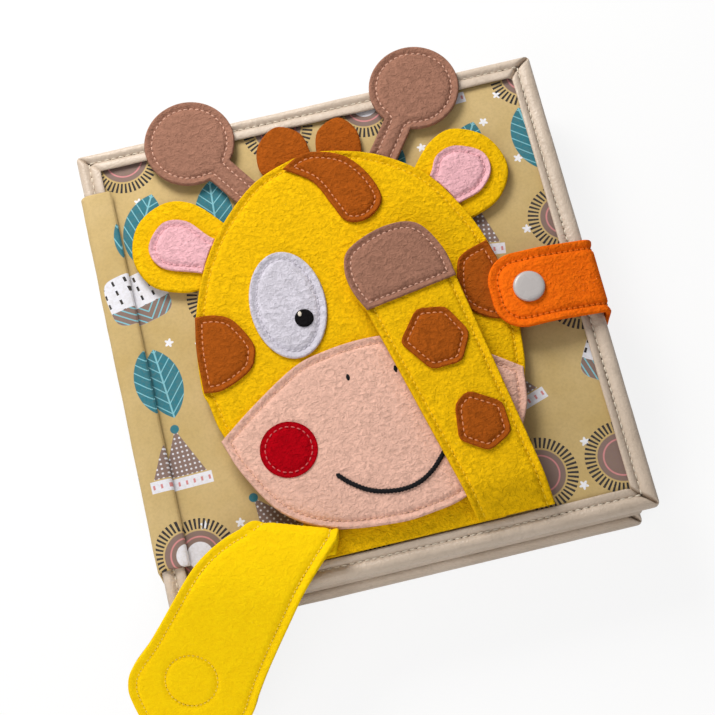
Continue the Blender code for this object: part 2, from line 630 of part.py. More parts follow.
def make_leg_left(parts, cutters):
    """The leg that is folded down over the cover's lower edge, its back upwards."""
    half = LEG_THICKNESS / 2
    loop = math.pi * FOLD_RADIUS
    far_seam = of_width(LEG_LEFT_SEAM_FAR_SHARE)
    near_seam = of_width(LEG_LEFT_SEAM_NEAR_SHARE)
    far_start = of_width(LEG_LEFT_FAR_SHARES[0])
    near_start = of_width(LEG_LEFT_NEAR_SHARES[0])
    base_outline = [Vector((far_seam.x - loop, far_seam.y)), Vector((near_seam.x - loop, near_seam.y)),
                    Vector((-loop, near_start.y)), near_start, far_start, Vector((-loop, far_start.y))]
    base = sheet("leg_left_base", base_outline, -half, LEG_THICKNESS, "yellow_felt", parts)
    bend(base, [-loop * step / 8 for step in range(1, 9)], fold_carry)
    bend_end = FOLD_LEVEL_RUN + FOLD_BEND_RUN
    far_end = edge_point(LEG_LEFT_FAR_SHARES, bend_end)
    near_end = edge_point(LEG_LEFT_NEAR_SHARES, bend_end)
    bend_start = FIT_GAP
    far_bend = edge_point(LEG_LEFT_FAR_SHARES, bend_start)
    near_bend = edge_point(LEG_LEFT_NEAR_SHARES, bend_start)
    far_inner = [of_width(share) for share in LEG_LEFT_FAR_SHARES[1:3]]
    near_inner = [of_width(share) for share in LEG_LEFT_NEAR_SHARES[1:2]]
    curved = sheet("leg_left_bend", [far_bend, *far_inner, far_end, near_end, *near_inner, near_bend],
                   -half, LEG_THICKNESS, "yellow_felt", parts)
    stations = [FOLD_LEVEL_RUN + FOLD_BEND_RUN * step / 6 for step in range(7)]
    bend(curved, stations, fold_carry)
    main_start = bend_end + FIT_GAP
    far_main = edge_point(LEG_LEFT_FAR_SHARES, main_start)
    near_main = edge_point(LEG_LEFT_NEAR_SHARES, main_start)
    near_hoof = of_width(HOOF_LEFT_NEAR_SHARE)
    far_hoof = of_width(HOOF_LEFT_FAR_SHARE)
    end = [of_width(share) for share in LEG_LEFT_END_SHARES]
    near_side = [of_width(share) for share in LEG_LEFT_NEAR_SHARES[2:]]
    whole = smooth_outline([far_main, far_hoof, *end, near_hoof, *reversed(near_side), near_main],
                           (0, 1, 12, 13, 14, 15))
    tip = smooth_outline([far_hoof, *end, near_hoof], (0, 11))
    back_low = half - LEG_BACK_FELT
    front_low = -half
    back = bend(sheet("leg_left_back_layer", whole, back_low, LEG_BACK_FELT, "yellow_felt", parts),
                (), fold_carry)
    magnet_centre = of_width(MAGNET_LEFT_SHARE)
    pocket = disc("leg_left_pocket", magnet_centre, back_low + MAGNET_THICKNESS + FIT_GAP - OVERRUN,
                  MAGNET_RADIUS + FIT_GAP, OVERRUN, SMALL_ROUND_SIDES, None, cutters)
    cut(back, bend(pocket, (), fold_carry))
    magnet = disc("leg_left_magnet", magnet_centre, back_low, MAGNET_RADIUS, MAGNET_THICKNESS,
                  SMALL_ROUND_SIDES, "steel", parts)
    bend(magnet, (), fold_carry)
    bend(sheet("leg_left_front_layer", whole, front_low, LEG_FRONT_FELT, "yellow_felt", parts),
         (), fold_carry)
    patch_low = front_low - FIT_GAP - FELT
    bend(sheet("leg_left_hoof", tip, patch_low, FELT, "brown_felt", parts), (), fold_carry)
    radius = SPOT_LEFT_RADIUS_SHARE * COVER_WIDTH
    for name, share in (("leg_left_upper_spot", SPOT_LEFT_UPPER_SHARE),
                        ("leg_left_lower_spot", SPOT_LEFT_LOWER_SHARE)):
        spot = sheet(name, ellipse(of_width(share), (radius, radius), 6), patch_low, FELT,
                     "rust_felt", parts)
        bend(spot, stations, fold_carry)


def snap_x():
    """The press stud stands just clear of the head's right edge."""
    head_edge = max(share[0] for share in HEAD_SHARES) * COVER_WIDTH
    return head_edge + SNAP_HEAD_GAP + SNAP_RADIUS


def strap_line_x():
    return COVER_WIDTH / 2 + STRAP_STANDOFF + STRAP_THICKNESS / 2


def strap_flap_level():
    return FACE_LEVEL + FELT + LEG_CLEARANCE + STRAP_THICKNESS / 2


def strap_corner_level():
    return STACK_TOP - STRAP_CORNER_DROP


def slope_length(rise):
    """Length of the flap's straight slope if it climbs at the given angle."""
    slope_low = strap_corner_level() + STRAP_BEND_RADIUS * math.cos(rise)
    arc_rise = STRAP_LEVELLING_RADIUS * (1 - math.cos(rise))
    return (strap_flap_level() - slope_low - arc_rise) / math.sin(rise)


def strap_rise():
    """The angle at which the flap climbs from the fore edge to be level at the snap's cap."""
    target = snap_x() + SNAP_CAP_RADIUS + FIT_GAP
    low = math.radians(2)
    high = math.radians(60)
    for _ in range(40):
        middle = (low + high) / 2
        level_x = (strap_line_x() - STRAP_BEND_RADIUS * (1 - math.sin(middle))
                   - slope_length(middle) * math.cos(middle) - STRAP_LEVELLING_RADIUS * math.sin(middle))
        if level_x < target:
            low = middle
        else:
            high = middle
    return low


STRAP_RISE = strap_rise()


def flap_runs():
    """Lengths of the flap's turn, slope and levelling arc."""
    turn = STRAP_BEND_RADIUS * (math.pi / 2 - STRAP_RISE)
    return turn, slope_length(STRAP_RISE), STRAP_LEVELLING_RADIUS * STRAP_RISE


def flap_path(run):
    """X, level and heading of the flap's middle at a run from the top of the strap's side."""
    turn, slope, levelling = flap_runs()
    angle = min(max(run, 0) / STRAP_BEND_RADIUS, turn / STRAP_BEND_RADIUS)
    x = strap_line_x() - STRAP_BEND_RADIUS * (1 - math.cos(angle))
    z = strap_corner_level() + STRAP_BEND_RADIUS * math.sin(angle)
    heading = math.pi / 2 + angle
    ahead = min(max(run - turn, 0), slope)
    x += ahead * math.cos(heading)
    z += ahead * math.sin(heading)
    rest = min(max(run - turn - slope, 0), levelling)
    turned = rest / STRAP_LEVELLING_RADIUS
    x -= STRAP_LEVELLING_RADIUS * (math.sin(STRAP_RISE) - math.sin(STRAP_RISE - turned))
    z += STRAP_LEVELLING_RADIUS * (math.cos(STRAP_RISE - turned) - math.cos(STRAP_RISE))
    heading += turned
    x -= max(run - turn - slope - levelling, 0)
    return x, z, heading


def side_path(run):
    """X, level and heading of the strap's side at a run from its sewn foot."""
    start_x = COVER_WIDTH / 2 - PAGE_INSET + FIT_GAP
    foot = strap_line_x() - STRAP_BEND_RADIUS - start_x
    if run < foot:
        return start_x + run, STRAP_FOOT_HEIGHT, 0
    angle = min((run - foot) / STRAP_BEND_RADIUS, math.pi / 2)
    x = start_x + foot + STRAP_BEND_RADIUS * math.sin(angle)
    z = STRAP_FOOT_HEIGHT + STRAP_BEND_RADIUS * (1 - math.cos(angle))
    z += max(run - foot - STRAP_BEND_RADIUS * math.pi / 2, 0)
    return x, z, angle


def strap_carry(path):
    def carry(run, y, height):
        x, z, heading = path(run)
        return Vector((x - height * math.sin(heading), y, z + height * math.cos(heading)))
    return carry


def make_strap(parts):
    half = STRAP_WIDTH / 2
    low = STRAP_MIDDLE_Y - half
    high = STRAP_MIDDLE_Y + half
    start_x = COVER_WIDTH / 2 - PAGE_INSET + FIT_GAP
    foot = strap_line_x() - STRAP_BEND_RADIUS - start_x
    quarter = STRAP_BEND_RADIUS * math.pi / 2
    side_end = foot + quarter + strap_corner_level() - STRAP_FOOT_HEIGHT - STRAP_BEND_RADIUS - FIT_GAP
    side = sheet("strap_side", [Vector((0, low)), Vector((side_end, low)), Vector((side_end, high)),
                                Vector((0, high))], -STRAP_THICKNESS / 2, STRAP_THICKNESS,
                 "orange_felt", parts)
    bend(side, [foot + quarter * step / 5 for step in range(6)], strap_carry(side_path))
    turn, slope, levelling = flap_runs()
    level_x = flap_path(turn + slope + levelling)[0]
    tip = turn + slope + levelling + level_x - snap_x() + STRAP_TIP_BEYOND_SNAP
    rounded = [Vector((tip - STRAP_TIP_ROUND * (1 - math.cos(angle)),
                       high - STRAP_TIP_ROUND * (1 - math.sin(angle))))
               for angle in (math.radians(step) for step in range(90, -1, -15))]
    mirrored = [Vector((point.x, low + high - point.y)) for point in reversed(rounded)]
    flap = sheet("strap_flap", [Vector((0, high)), *rounded, *mirrored, Vector((0, low))],
                 -STRAP_THICKNESS / 2, STRAP_THICKNESS, "orange_felt", parts)
    stations = [turn * step / 5 for step in range(1, 6)]
    stations += [turn + slope, turn + slope + levelling / 2, turn + slope + levelling]
    bend(flap, stations, strap_carry(flap_path))


def make_snap(parts, cutters):
    """Stud on the cover, socket under the strap and cap on top of it."""
    centre = (snap_x(), STRAP_MIDDLE_Y)
    stud_low = PANEL_TOP + FIT_GAP
    stud = disc("snap_stud", centre, stud_low, SNAP_RADIUS, SNAP_STUD_HEIGHT, ROUND_SIDES,
                "snap_plastic", parts)
    post = disc("snap_stud_post", centre, stud_low + SNAP_STUD_HEIGHT - WELD,
                SNAP_STUD_POST_RADIUS, SNAP_STUD_POST_HEIGHT, SMALL_ROUND_SIDES, None, cutters)
    cut(stud, post, "UNION")
    strap_low = strap_flap_level() - STRAP_THICKNESS / 2
    socket_low = strap_low - FIT_GAP - SNAP_SOCKET_HEIGHT
    disc("snap_socket", centre, socket_low, SNAP_RADIUS, SNAP_SOCKET_HEIGHT, ROUND_SIDES,
         "snap_plastic", parts)
    cap_low = strap_low + STRAP_THICKNESS + FIT_GAP
    cap = disc("snap_cap", centre, cap_low, SNAP_CAP_RADIUS, SNAP_CAP_HEIGHT, ROUND_SIDES,
               "snap_plastic", parts)
    round_edges(cap, SNAP_CAP_HEIGHT / 3)


# The pieces that each hinge carries, by how their names start; the rest turn with the front cover
CARRIED_NAMES = {
    "back_cover": ("back_cover", "spine_strip_back"),
    "second_page_turn": ("second_page",),
    "first_page_turn": ("first_page",),
    "front_cover_turn": ("leg_right_base", "leg_left_base"),
    "leg_right_fold": ("leg_right",),
    "leg_left_fold": ("leg_left_bend", "leg_left_lower_spot"),
    "leg_left_straighten": ("leg_left",),
    "strap_open": ("strap_side",),
    "strap_flap_lift": ("strap_flap", "snap_cap", "snap_socket"),
}


def hinge_places():
    """Each hinge's carrier, and a point on its axis."""
    spine = Vector((HINGE_X, 0, HINGE_Z))
    seam = (edge_at(LEG_RIGHT_INNER_SHARES, SEAM_Y) + edge_at(LEG_RIGHT_OUTER_SHARES, SEAM_Y)) / 2
    outward, along = fold_directions()
    fold = on_cover(FOLD_MIDDLE_SHARE).to_3d()
    bend_out = FOLD_LEVEL_RUN + FOLD_BEND_RUN / FOLD_BEND * math.tan(FOLD_BEND / 2)
    bend_place = fold + outward * bend_out
    folded_top = fold_top_level() + LEG_THICKNESS / 2
    return {
        "second_page_turn": (None, spine),
        "first_page_turn": ("second_page_turn", spine),
        "front_cover_turn": ("first_page_turn", spine),
        "leg_right_fold": ("front_cover_turn", (seam.x, SEAM_Y, (BOOK_TOP + STACK_TOP) / 2)),
        "leg_left_fold": ("front_cover_turn", (fold.x, fold.y, (LEG_LEVEL + folded_top) / 2)),
        "leg_left_straighten": ("leg_left_fold", (bend_place.x, bend_place.y, fold_top_level())),
        "strap_open": (None, (strap_line_x(), STRAP_MIDDLE_Y, STRAP_HINGE_HEIGHT)),
        "strap_flap_lift": ("strap_open", (strap_line_x(), STRAP_MIDDLE_Y, STACK_TOP)),
    }


def attach(item, carrier):
    """Makes an object turn with its carrier, and leaves it where it is."""
    bpy.context.view_layer.update()
    item.parent = carrier
    item.matrix_parent_inverse = carrier.matrix_world.inverted()


def make_hinges(parts):
    """Empties on the hinges' axes, each under its carrier, with the pieces that turn about them."""
    pieces = list(parts.objects)
    hinges = {}
    for name, (carrier, spot) in hinge_places().items():
        hinge = bpy.data.objects.new(name, None)
        hinge.empty_display_size = HINGE_MARK_SIZE
        hinge.location = spot
        parts.objects.link(hinge)
        hinges[name] = hinge
        if carrier:
            attach(hinge, hinges[carrier])
    for piece in pieces:
        found = [name for name, starts in CARRIED_NAMES.items() if piece.name.startswith(starts)]
        holder = found[0] if found else "front_cover_turn"
        if holder in hinges:
            attach(piece, hinges[holder])


def main():
    clear_scene()
    parts = new_collection("quiet_book")
    cutters = new_collection("cutters")
    cover_edge = COVER_WIDTH / 2
    page_edge = cover_edge - PAGE_INSET
    make_leaf("back_cover", 0, page_edge, "lining", parts, cutters)
    make_leaf("second_page", 1, page_edge, "lining", parts, cutters)
    make_leaf("first_page", 2, page_edge, "lining", parts, cutters)
    make_leaf("front_cover", 3, cover_edge, "print_cloth", parts, cutters)
    make_spine_strip("spine_strip_front", HINGE_Z + FIT_GAP, STACK_TOP + FIT_GAP, 1, parts)
    make_spine_strip("spine_strip_back", HINGE_Z - FIT_GAP, STRIP_THICKNESS, -1, parts)
    make_face(parts)
    make_leg_right(parts, cutters)
    make_leg_left(parts, cutters)
    make_strap(parts)
    make_snap(parts, cutters)
    make_hinges(parts)


main()
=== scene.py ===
"""The looks of a cloth quiet book with a felt giraffe on its cover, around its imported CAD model."""
import json
import math
import random

import bpy
import numpy as np
from mathutils import Matrix, Vector, noise
from mathutils.geometry import delaunay_2d_cdt

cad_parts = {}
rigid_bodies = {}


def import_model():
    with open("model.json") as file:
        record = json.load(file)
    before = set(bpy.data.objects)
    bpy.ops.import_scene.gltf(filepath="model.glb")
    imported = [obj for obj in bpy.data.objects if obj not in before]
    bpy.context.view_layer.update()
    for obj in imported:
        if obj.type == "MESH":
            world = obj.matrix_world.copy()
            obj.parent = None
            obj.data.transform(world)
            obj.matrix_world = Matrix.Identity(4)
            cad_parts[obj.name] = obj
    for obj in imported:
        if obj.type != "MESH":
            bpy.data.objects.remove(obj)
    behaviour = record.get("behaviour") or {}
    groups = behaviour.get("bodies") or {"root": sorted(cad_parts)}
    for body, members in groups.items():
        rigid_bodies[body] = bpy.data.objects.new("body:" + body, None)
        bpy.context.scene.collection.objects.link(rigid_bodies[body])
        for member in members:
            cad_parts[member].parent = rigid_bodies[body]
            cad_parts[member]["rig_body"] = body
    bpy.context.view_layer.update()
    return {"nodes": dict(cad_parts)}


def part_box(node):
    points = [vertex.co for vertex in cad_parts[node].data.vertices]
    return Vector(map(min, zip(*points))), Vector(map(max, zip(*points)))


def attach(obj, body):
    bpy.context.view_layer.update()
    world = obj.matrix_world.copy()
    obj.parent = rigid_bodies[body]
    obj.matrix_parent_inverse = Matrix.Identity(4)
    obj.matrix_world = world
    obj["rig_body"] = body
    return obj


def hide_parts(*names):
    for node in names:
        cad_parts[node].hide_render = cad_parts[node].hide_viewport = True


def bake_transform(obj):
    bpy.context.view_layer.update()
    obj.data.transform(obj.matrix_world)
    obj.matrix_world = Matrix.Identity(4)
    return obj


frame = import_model()
chance = random.Random(7)

COVER_WIDTH = 0.200
COVER_HEIGHT = 0.205

# Outlines and places seen from above, as shares of the cover's width and height
HEAD_SHARES = ((-0.342, -0.064), (-0.332, 0.042), (-0.309, 0.125), (-0.275, 0.200), (-0.225, 0.270),
               (-0.150, 0.338), (-0.076, 0.370), (-0.001, 0.381), (0.098, 0.357), (0.168, 0.319),
               (0.223, 0.270), (0.267, 0.197), (0.297, 0.125), (0.315, 0.042), (0.322, -0.030),
               (0.317, -0.113), (0.302, -0.191), (0.247, -0.298), (-0.011, -0.375), (-0.260, -0.298),
               (-0.319, -0.172), (-0.334, -0.103))
MUZZLE_SHARES = ((-0.326, -0.184), (-0.250, -0.129), (-0.150, -0.068), (-0.076, -0.049),
                 (-0.002, -0.043), (0.058, -0.048), (0.132, -0.068), (0.226, -0.121),
                 (0.303, -0.175), (0.286, -0.261), (0.226, -0.343), (0.127, -0.402),
                 (0.048, -0.419), (-0.027, -0.422), (-0.150, -0.404), (-0.240, -0.351),
                 (-0.299, -0.257))
FORELOCK_SHARES = ((-0.076, 0.357), (-0.041, 0.376), (-0.002, 0.379), (0.058, 0.354),
                   (0.098, 0.300), (0.110, 0.243), (0.073, 0.209), (0.028, 0.214),
                   (0.006, 0.258), (-0.021, 0.315))
CHEEK_LEFT_SHARES = ((-0.324, 0.083), (-0.284, 0.078), (-0.250, 0.059), (-0.221, 0.006),
                     (-0.222, -0.023), (-0.240, -0.053), (-0.299, -0.079), (-0.339, -0.077),
                     (-0.336, 0.010))
CHEEK_RIGHT_SHARES = ((0.227, 0.063), (0.247, 0.088), (0.300, 0.105), (0.315, 0.042),
                      (0.320, -0.030), (0.314, -0.073), (0.256, -0.053), (0.217, -0.009))
EAR_LEFT_SHARES = ((-0.220, 0.273), (-0.275, 0.332), (-0.335, 0.349), (-0.399, 0.315),
                   (-0.424, 0.244), (-0.399, 0.179), (-0.340, 0.149), (-0.290, 0.147),
                   (-0.262, 0.156), (-0.205, 0.252))
EAR_RIGHT_SHARES = ((0.204, 0.312), (0.249, 0.355), (0.300, 0.368), (0.363, 0.332),
                    (0.388, 0.259), (0.353, 0.196), (0.289, 0.167), (0.265, 0.168),
                    (0.187, 0.281))
INNER_EAR_LEFT_SHARES = ((-0.225, 0.227), (-0.259, 0.251), (-0.299, 0.295), (-0.349, 0.302),
                         (-0.387, 0.256), (-0.369, 0.208), (-0.304, 0.182), (-0.265, 0.168))
INNER_EAR_RIGHT_SHARES = ((0.213, 0.260), (0.229, 0.283), (0.248, 0.314), (0.289, 0.326),
                          (0.342, 0.300), (0.350, 0.256), (0.319, 0.218), (0.276, 0.203),
                          (0.250, 0.194))
MANE_LEFT_SHARES = ((-0.100, 0.338), (-0.124, 0.376), (-0.115, 0.429), (-0.070, 0.462),
                    (-0.022, 0.436), (-0.010, 0.380), (-0.012, 0.341))
MANE_RIGHT_SHARES = ((0.004, 0.341), (0.002, 0.380), (0.016, 0.432), (0.064, 0.453),
                     (0.096, 0.417), (0.096, 0.366), (0.082, 0.338))
NECK_SHARES = ((-0.190, -0.344), (-0.210, -0.400), (-0.214, -0.455), (0.194, -0.455),
               (0.190, -0.400), (0.170, -0.344))
EYE_SHARES = {"left": (-0.132, 0.065), "right": (0.109, 0.065)}
PUPIL_SHARES = {"left": (-0.106, 0.028), "right": (0.083, 0.028)}
BLUSH_SHARES = {"left": (-0.198, -0.232), "right": (0.175, -0.232)}
NOSTRIL_SHARES = {"left": (-0.048, -0.115), "right": (0.050, -0.120)}
HORN_SHARES = {"left": ((-0.256, 0.468), (-0.145, 0.306)), "right": ((0.239, 0.479), (0.126, 0.326))}
EYE_RADII_SHARE = (0.078, 0.118)
PUPIL_RADIUS_SHARE = 0.019
BLUSH_RADIUS_SHARE = 0.058
HORN_RADIUS_SHARE = 0.096
HORN_STEM_SHARE = 0.030
SMILE_SHARES = ((-0.118, -0.301), (-0.091, -0.328), (-0.052, -0.352), (-0.002, -0.362),
                (0.038, -0.357), (0.070, -0.340), (0.095, -0.317), (0.116, -0.292))
LEG_RIGHT_INNER_SHARES = ((0.140, -0.466), (0.022, 0.004))
LEG_RIGHT_OUTER_SHARES = ((0.295, -0.466), (0.216, 0.035))
LEG_RIGHT_END_SHARES = ((0.002, 0.050), (-0.003, 0.098), (0.017, 0.140), (0.095, 0.170),
                        (0.164, 0.162), (0.204, 0.098))
SPOT_RIGHT_UPPER_SHARES = ((0.070, -0.078), (0.119, -0.016), (0.178, -0.025), (0.213, -0.087),
                           (0.183, -0.144), (0.119, -0.147))
SPOT_RIGHT_LOWER_SHARES = ((0.178, -0.205), (0.240, -0.243), (0.242, -0.307), (0.190, -0.334),
                           (0.136, -0.299), (0.146, -0.226))
MAGNET_RIGHT_SHARE = (0.110, 0.059)

# The folded leg, laid flat: run out from the fold line, then place along it, both as
# shares of the cover's width
FOLD_MIDDLE_SHARE = (-0.2425, -0.400)
LEG_LEFT_FAR_SHARES = ((0.000, -0.090), (0.020, -0.116), (0.054, -0.150), (0.102, -0.182), (0.165, -0.214))
LEG_LEFT_BEND_FAR_SHARE = (-0.024, -0.062)
LEG_LEFT_NEAR_SHARES = ((0.000, 0.103), (0.100, 0.054), (0.176, 0.025), (0.271, -0.008))
LEG_LEFT_END_SHARES = ((0.247, -0.250), (0.296, -0.278), (0.330, -0.286), (0.366, -0.277),
                       (0.420, -0.240), (0.462, -0.169), (0.470, -0.128), (0.452, -0.086),
                       (0.414, -0.056), (0.364, -0.033))
HOOF_LEFT_FAR_SHARE = (0.214, -0.234)
HOOF_LEFT_NEAR_SHARE = (0.334, -0.026)
LEG_LEFT_SEAM_FAR_SHARE = (-0.073, -0.050)
LEG_LEFT_SEAM_NEAR_SHARE = (-0.022, 0.101)
SPOT_LEFT_UPPER_SHARE = (0.196, -0.094)
SPOT_LEFT_LOWER_SHARE = (0.104, -0.050)
SPOT_LEFT_RADIUS_SHARE = 0.050
MAGNET_LEFT_SHARE = (0.312, -0.160)
FOLD_ANGLE = math.radians(-19.3)
FOLD_BEND = math.radians(30)
FOLD_RADIUS = 0.0030
FOLD_LEVEL_RUN = 0.006
FOLD_BEND_RUN = 0.026
FOLD_LOOP = math.pi * FOLD_RADIUS
FOLD_HINGE = (-0.0485, -0.0820, 0.0457)
FOLD_LEAN = math.radians(30)
FOLD_LIFT_REACH = 0.0032

# Levels that the CAD nodes give
HEAD_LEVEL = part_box("head_front_layer")[0].z
MUZZLE_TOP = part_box("muzzle")[1].z
LEG_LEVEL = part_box("leg_right_back_layer")[0].z
LEG_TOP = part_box("leg_right_front_layer")[1].z
LEG_BACK_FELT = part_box("leg_right_back_layer")[1].z - LEG_LEVEL
PLY_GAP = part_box("leg_right_front_layer")[0].z - LEG_LEVEL - LEG_BACK_FELT
LEG_THICKNESS = LEG_TOP - LEG_LEVEL

# The smile's cord, laid on the muzzle and drawn down into it at its ends
SMILE_RADIUS = 0.00090
SMILE_LEVEL = 0.00055
SMILE_END_DROP = 0.0011
SMILE_END_REACH = 0.0010
SMILE_STEPS = 24
SMILE_SIDES = 18
SMILE_TWIST = 1500.0
SMILE_STRANDS = 3

# The ends that are sewn down at the cover's lower edge, and the bend of the right leg
SEAM_Y = -0.0932
RAMP_LENGTH = 0.0155
NECK_PRESS = 0.62
NECK_PRESS_REACH = 0.006
LEG_PRESS = 0.40
LEG_PRESS_REACH = 0.0045
LEG_PRESS_DROP = 0.0016
LEG_RIGHT_HINGE_X = 0.0435
LEG_RIGHT_HINGE_Z = 0.04205
# How far the bend starts and ends from the seam: short, because a longer one cuts through the
# binding when the leg is folded down
LEG_RIGHT_BEND = (0.0003, 0.0036)

# Sewing
STITCH_PITCH = 0.0025
CLOSE_PITCH = 0.0018
STITCH_GAP = 0.00075
THREAD_RADIUS = 0.00027
THREAD_ARCH = 0.00042
THREAD_SINK = 0.00026
THREAD_LEAN = 0.00009
FIELD_RISE = 0.00030
GROOVE_DEPTH = 0.00100
SOFT_GROOVE = 0.00065
GROOVE_WIDTH = 0.00085
BORDER_REACH = 0.00150
LIP_RISE = 0.00025
LEAST_FELT = 0.00015
FELT_UNEVEN = 0.00011
SEAM_CLEARANCE = 0.0019
HOLE_DEPTH = 0.00025
HOLE_WIDTH = 0.00050
# Rings of the dark disc of painted shade in each needle hole: radius and level
HOLE_RINGS = ((0.00040, -0.00052), (0.00032, -0.00022), (0.00010, -0.00012))
LEG_RIGHT_INSET = 0.0029
LEG_LEFT_INSET = 0.0034
PATCH_INSET = 0.0025
PATCH_FELT = 0.0012
STRAP_INSET = 0.0038
MAGNET_RADIUS = 0.0050
MAGNET_RING_RADIUS = 0.0105
POCKET_ROOM = 0.0003
EDGE_ROUND = 0.00065

# A slab's side by its number of plies: share of the height, and how far it stands out there
SIDE_PROFILES = {
    1: ((0.5, 0.00010),),
    2: ((0.25, 0.00010), (0.43, 0), (0.5, -0.0004), (0.57, 0), (0.75, 0.00010)),
}
OUTLINE_STEP = 0.0009
FILL_STEP = 0.0019

FINISHES = {
    "binding": (0.56, 0.45, 0.35),
    "print_cloth": (0.56, 0.395, 0.15),
    "lining": (0.80, 0.76, 0.66),
    "yellow_felt": (0.80, 0.465, 0.004),
    "brown_felt": (0.315, 0.155, 0.106),
    "rust_felt": (0.345, 0.080, 0.008),
    "peach_felt": (0.76, 0.46, 0.365),
    "pink_felt": (0.78, 0.43, 0.475),
    "white_felt": (0.60, 0.575, 0.65),
    "black_felt": (0.008, 0.007, 0.008),
    "red_felt": (0.39, 0.001, 0.006),
    "orange_felt": (0.96, 0.155, 0.006),
    "black_cord": (0.006, 0.006, 0.007),
    # A lighter yellow for the folded-down leg, whose back faces up: in part painted light, so that the
    # drooping leg shows as bright as the lit felt above it
    "lit_yellow_back": (1.0, 0.64, 0.004),
}
THREADS = {
    "binding": (0.78, 0.70, 0.58),
    "yellow_felt": (0.86, 0.56, 0.02),
    # The folded leg's thread, lightened with its felt: in part painted light
    "lit_yellow_back": (0.92, 0.66, 0.09),
    "brown_felt": (0.70, 0.42, 0.32),
    "rust_felt": (0.72, 0.30, 0.14),
    "peach_felt": (0.78, 0.47, 0.33),
    "pink_felt": (0.78, 0.42, 0.45),
    "white_felt": (0.60, 0.57, 0.64),
    "red_felt": (0.62, 0.12, 0.12),
    "orange_felt": (0.88, 0.20, 0.015),
}


# Lines and points in the plane


def on_cover(share):
    return np.array((share[0] * COVER_WIDTH, share[1] * COVER_HEIGHT))


def of_width(share):
    return np.array(share) * COVER_WIDTH


def smooth_line(points, corners=(), steps=6):
    """A closed cubic through the points, with sharp turns at the corners."""
    count = len(points)
    line = []
    for index in range(count):
        start = points[index]
        end = points[(index + 1) % count]
        sharp_start = index in corners
        sharp_end = (index + 1) % count in corners
        leave = end - start if sharp_start else (end - points[index - 1]) / 2
        arrive = end - start if sharp_end else (points[(index + 2) % count] - start) / 2
        for step in range(1 if sharp_start and sharp_end else steps):
            t = step / steps
            line.append(start * (2 * t**3 - 3 * t**2 + 1) + leave * (t**3 - 2 * t**2 + t)
                        + end * (3 * t**2 - 2 * t**3) + arrive * (t**3 - t**2))
    return np.array(line)


def cover_line(shares, corners=()):
    return smooth_line([on_cover(share) for share in shares], corners)


def ellipse(centre, radii, sides=72):
    turns = np.linspace(0, math.tau, sides, endpoint=False)
    return np.stack([centre[0] + radii[0] * np.cos(turns), centre[1] + radii[1] * np.sin(turns)], 1)


def softened(points, radius):
    """The outline with its corners turned on small curves."""
    line = []
    for index, point in enumerate(points):
        before = points[index - 1] - point
        after = points[(index + 1) % len(points)] - point
        start = point + before / np.linalg.norm(before) * radius
        end = point + after / np.linalg.norm(after) * radius
        line += [start, (start * 0.56 + end * 0.16 + point * 0.28), (start + end + 2 * point) / 4,
                 (start * 0.16 + end * 0.56 + point * 0.28), end]
    return np.array(line)


def counter_clockwise(line):
    ahead = np.roll(line, -1, axis=0)
    area = (line[:, 0] * ahead[:, 1] - ahead[:, 0] * line[:, 1]).sum()
    return line if area > 0 else line[::-1]


def segments(line, closed):
    if closed:
        return line, np.roll(line, -1, axis=0)
    return line[:-1], line[1:]


def subdivided(line, step, closed=True):
    """The line with points added, so that none are further apart than a step."""
    points = []
    for start, end in zip(*segments(line, closed)):
        count = max(1, math.ceil(np.linalg.norm(end - start) / step))
        points += [start + (end - start) * index / count for index in range(count)]
    if not closed:
        points.append(line[-1])
    return np.array(points)


def distances(points, line, closed=True, chunk=400):
    """How far each point is from the line."""
    starts, ends = segments(line, closed)
    along = ends - starts
    squared = np.maximum((along ** 2).sum(1), 1e-18)
    nearest = []
    for first in range(0, len(points), chunk):
        offset = points[first:first + chunk, None] - starts
        share = np.clip((offset * along).sum(2) / squared, 0, 1)
        gap = offset - along * share[..., None]
        nearest.append(np.sqrt((gap ** 2).sum(2).min(1)))
    return np.concatenate(nearest)


def left_normals(line, closed=True):
    """Unit vectors to the left of a line, which is inwards on a counter-clockwise one."""
    ahead = np.roll(line, -1, axis=0) - np.roll(line, 1, axis=0) if closed else np.gradient(line, axis=0)
    ahead = ahead / np.maximum(np.linalg.norm(ahead, axis=1), 1e-12)[:, None]
    return np.stack([-ahead[:, 1], ahead[:, 0]], 1)


def within(points, line):
    """Which points lie inside a closed line."""
    starts, ends = segments(line, True)
    x = points[:, 0, None]
    y = points[:, 1, None]
    spans = (starts[:, 1] > y) != (ends[:, 1] > y)
    rise_of = np.where(ends[:, 1] == starts[:, 1], 1e-12, ends[:, 1] - starts[:, 1])
    crossing = starts[:, 0] + (ends[:, 0] - starts[:, 0]) * (y - starts[:, 1]) / rise_of
    return (spans & (x < crossing)).sum(1) % 2 == 1


def tucked(line, over, gap=0.0003):
    """The line drawn back to the edge of an outline that lies over it."""
    line = subdivided(counter_clockwise(line), 0.0005)
    guard = subdivided(counter_clockwise(over), 0.0003)
    guard = guard - left_normals(guard) * gap
    hidden = within(line, guard)
    nearest = [guard[((guard - point) ** 2).sum(1).argmin()] for point in line[hidden]]
    line[hidden] = nearest
    apart = np.linalg.norm(line - np.roll(line, 1, axis=0), axis=1) > 0.0001
    return line[apart]


def uncovered(line, over, gap=0.0006):
    """The stretch of a closed line that an outline over it leaves to be seen."""
    guard = counter_clockwise(over)
    seen = ~within(line, guard - left_normals(guard) * gap)
    start = np.flatnonzero(seen & ~np.roll(seen, 1))
    if len(start):
        line = np.roll(line, -start[0], axis=0)
        seen = np.roll(seen, -start[0])
    return line[seen]


def inset(line, distance, closed=True):
    """The line moved inwards; what would come closer to the line than that is left out."""
    fine = subdivided(line, 0.0005, closed)
    moved = fine + left_normals(fine, closed) * distance
    return moved[distances(moved, fine, closed) > distance * 0.985]


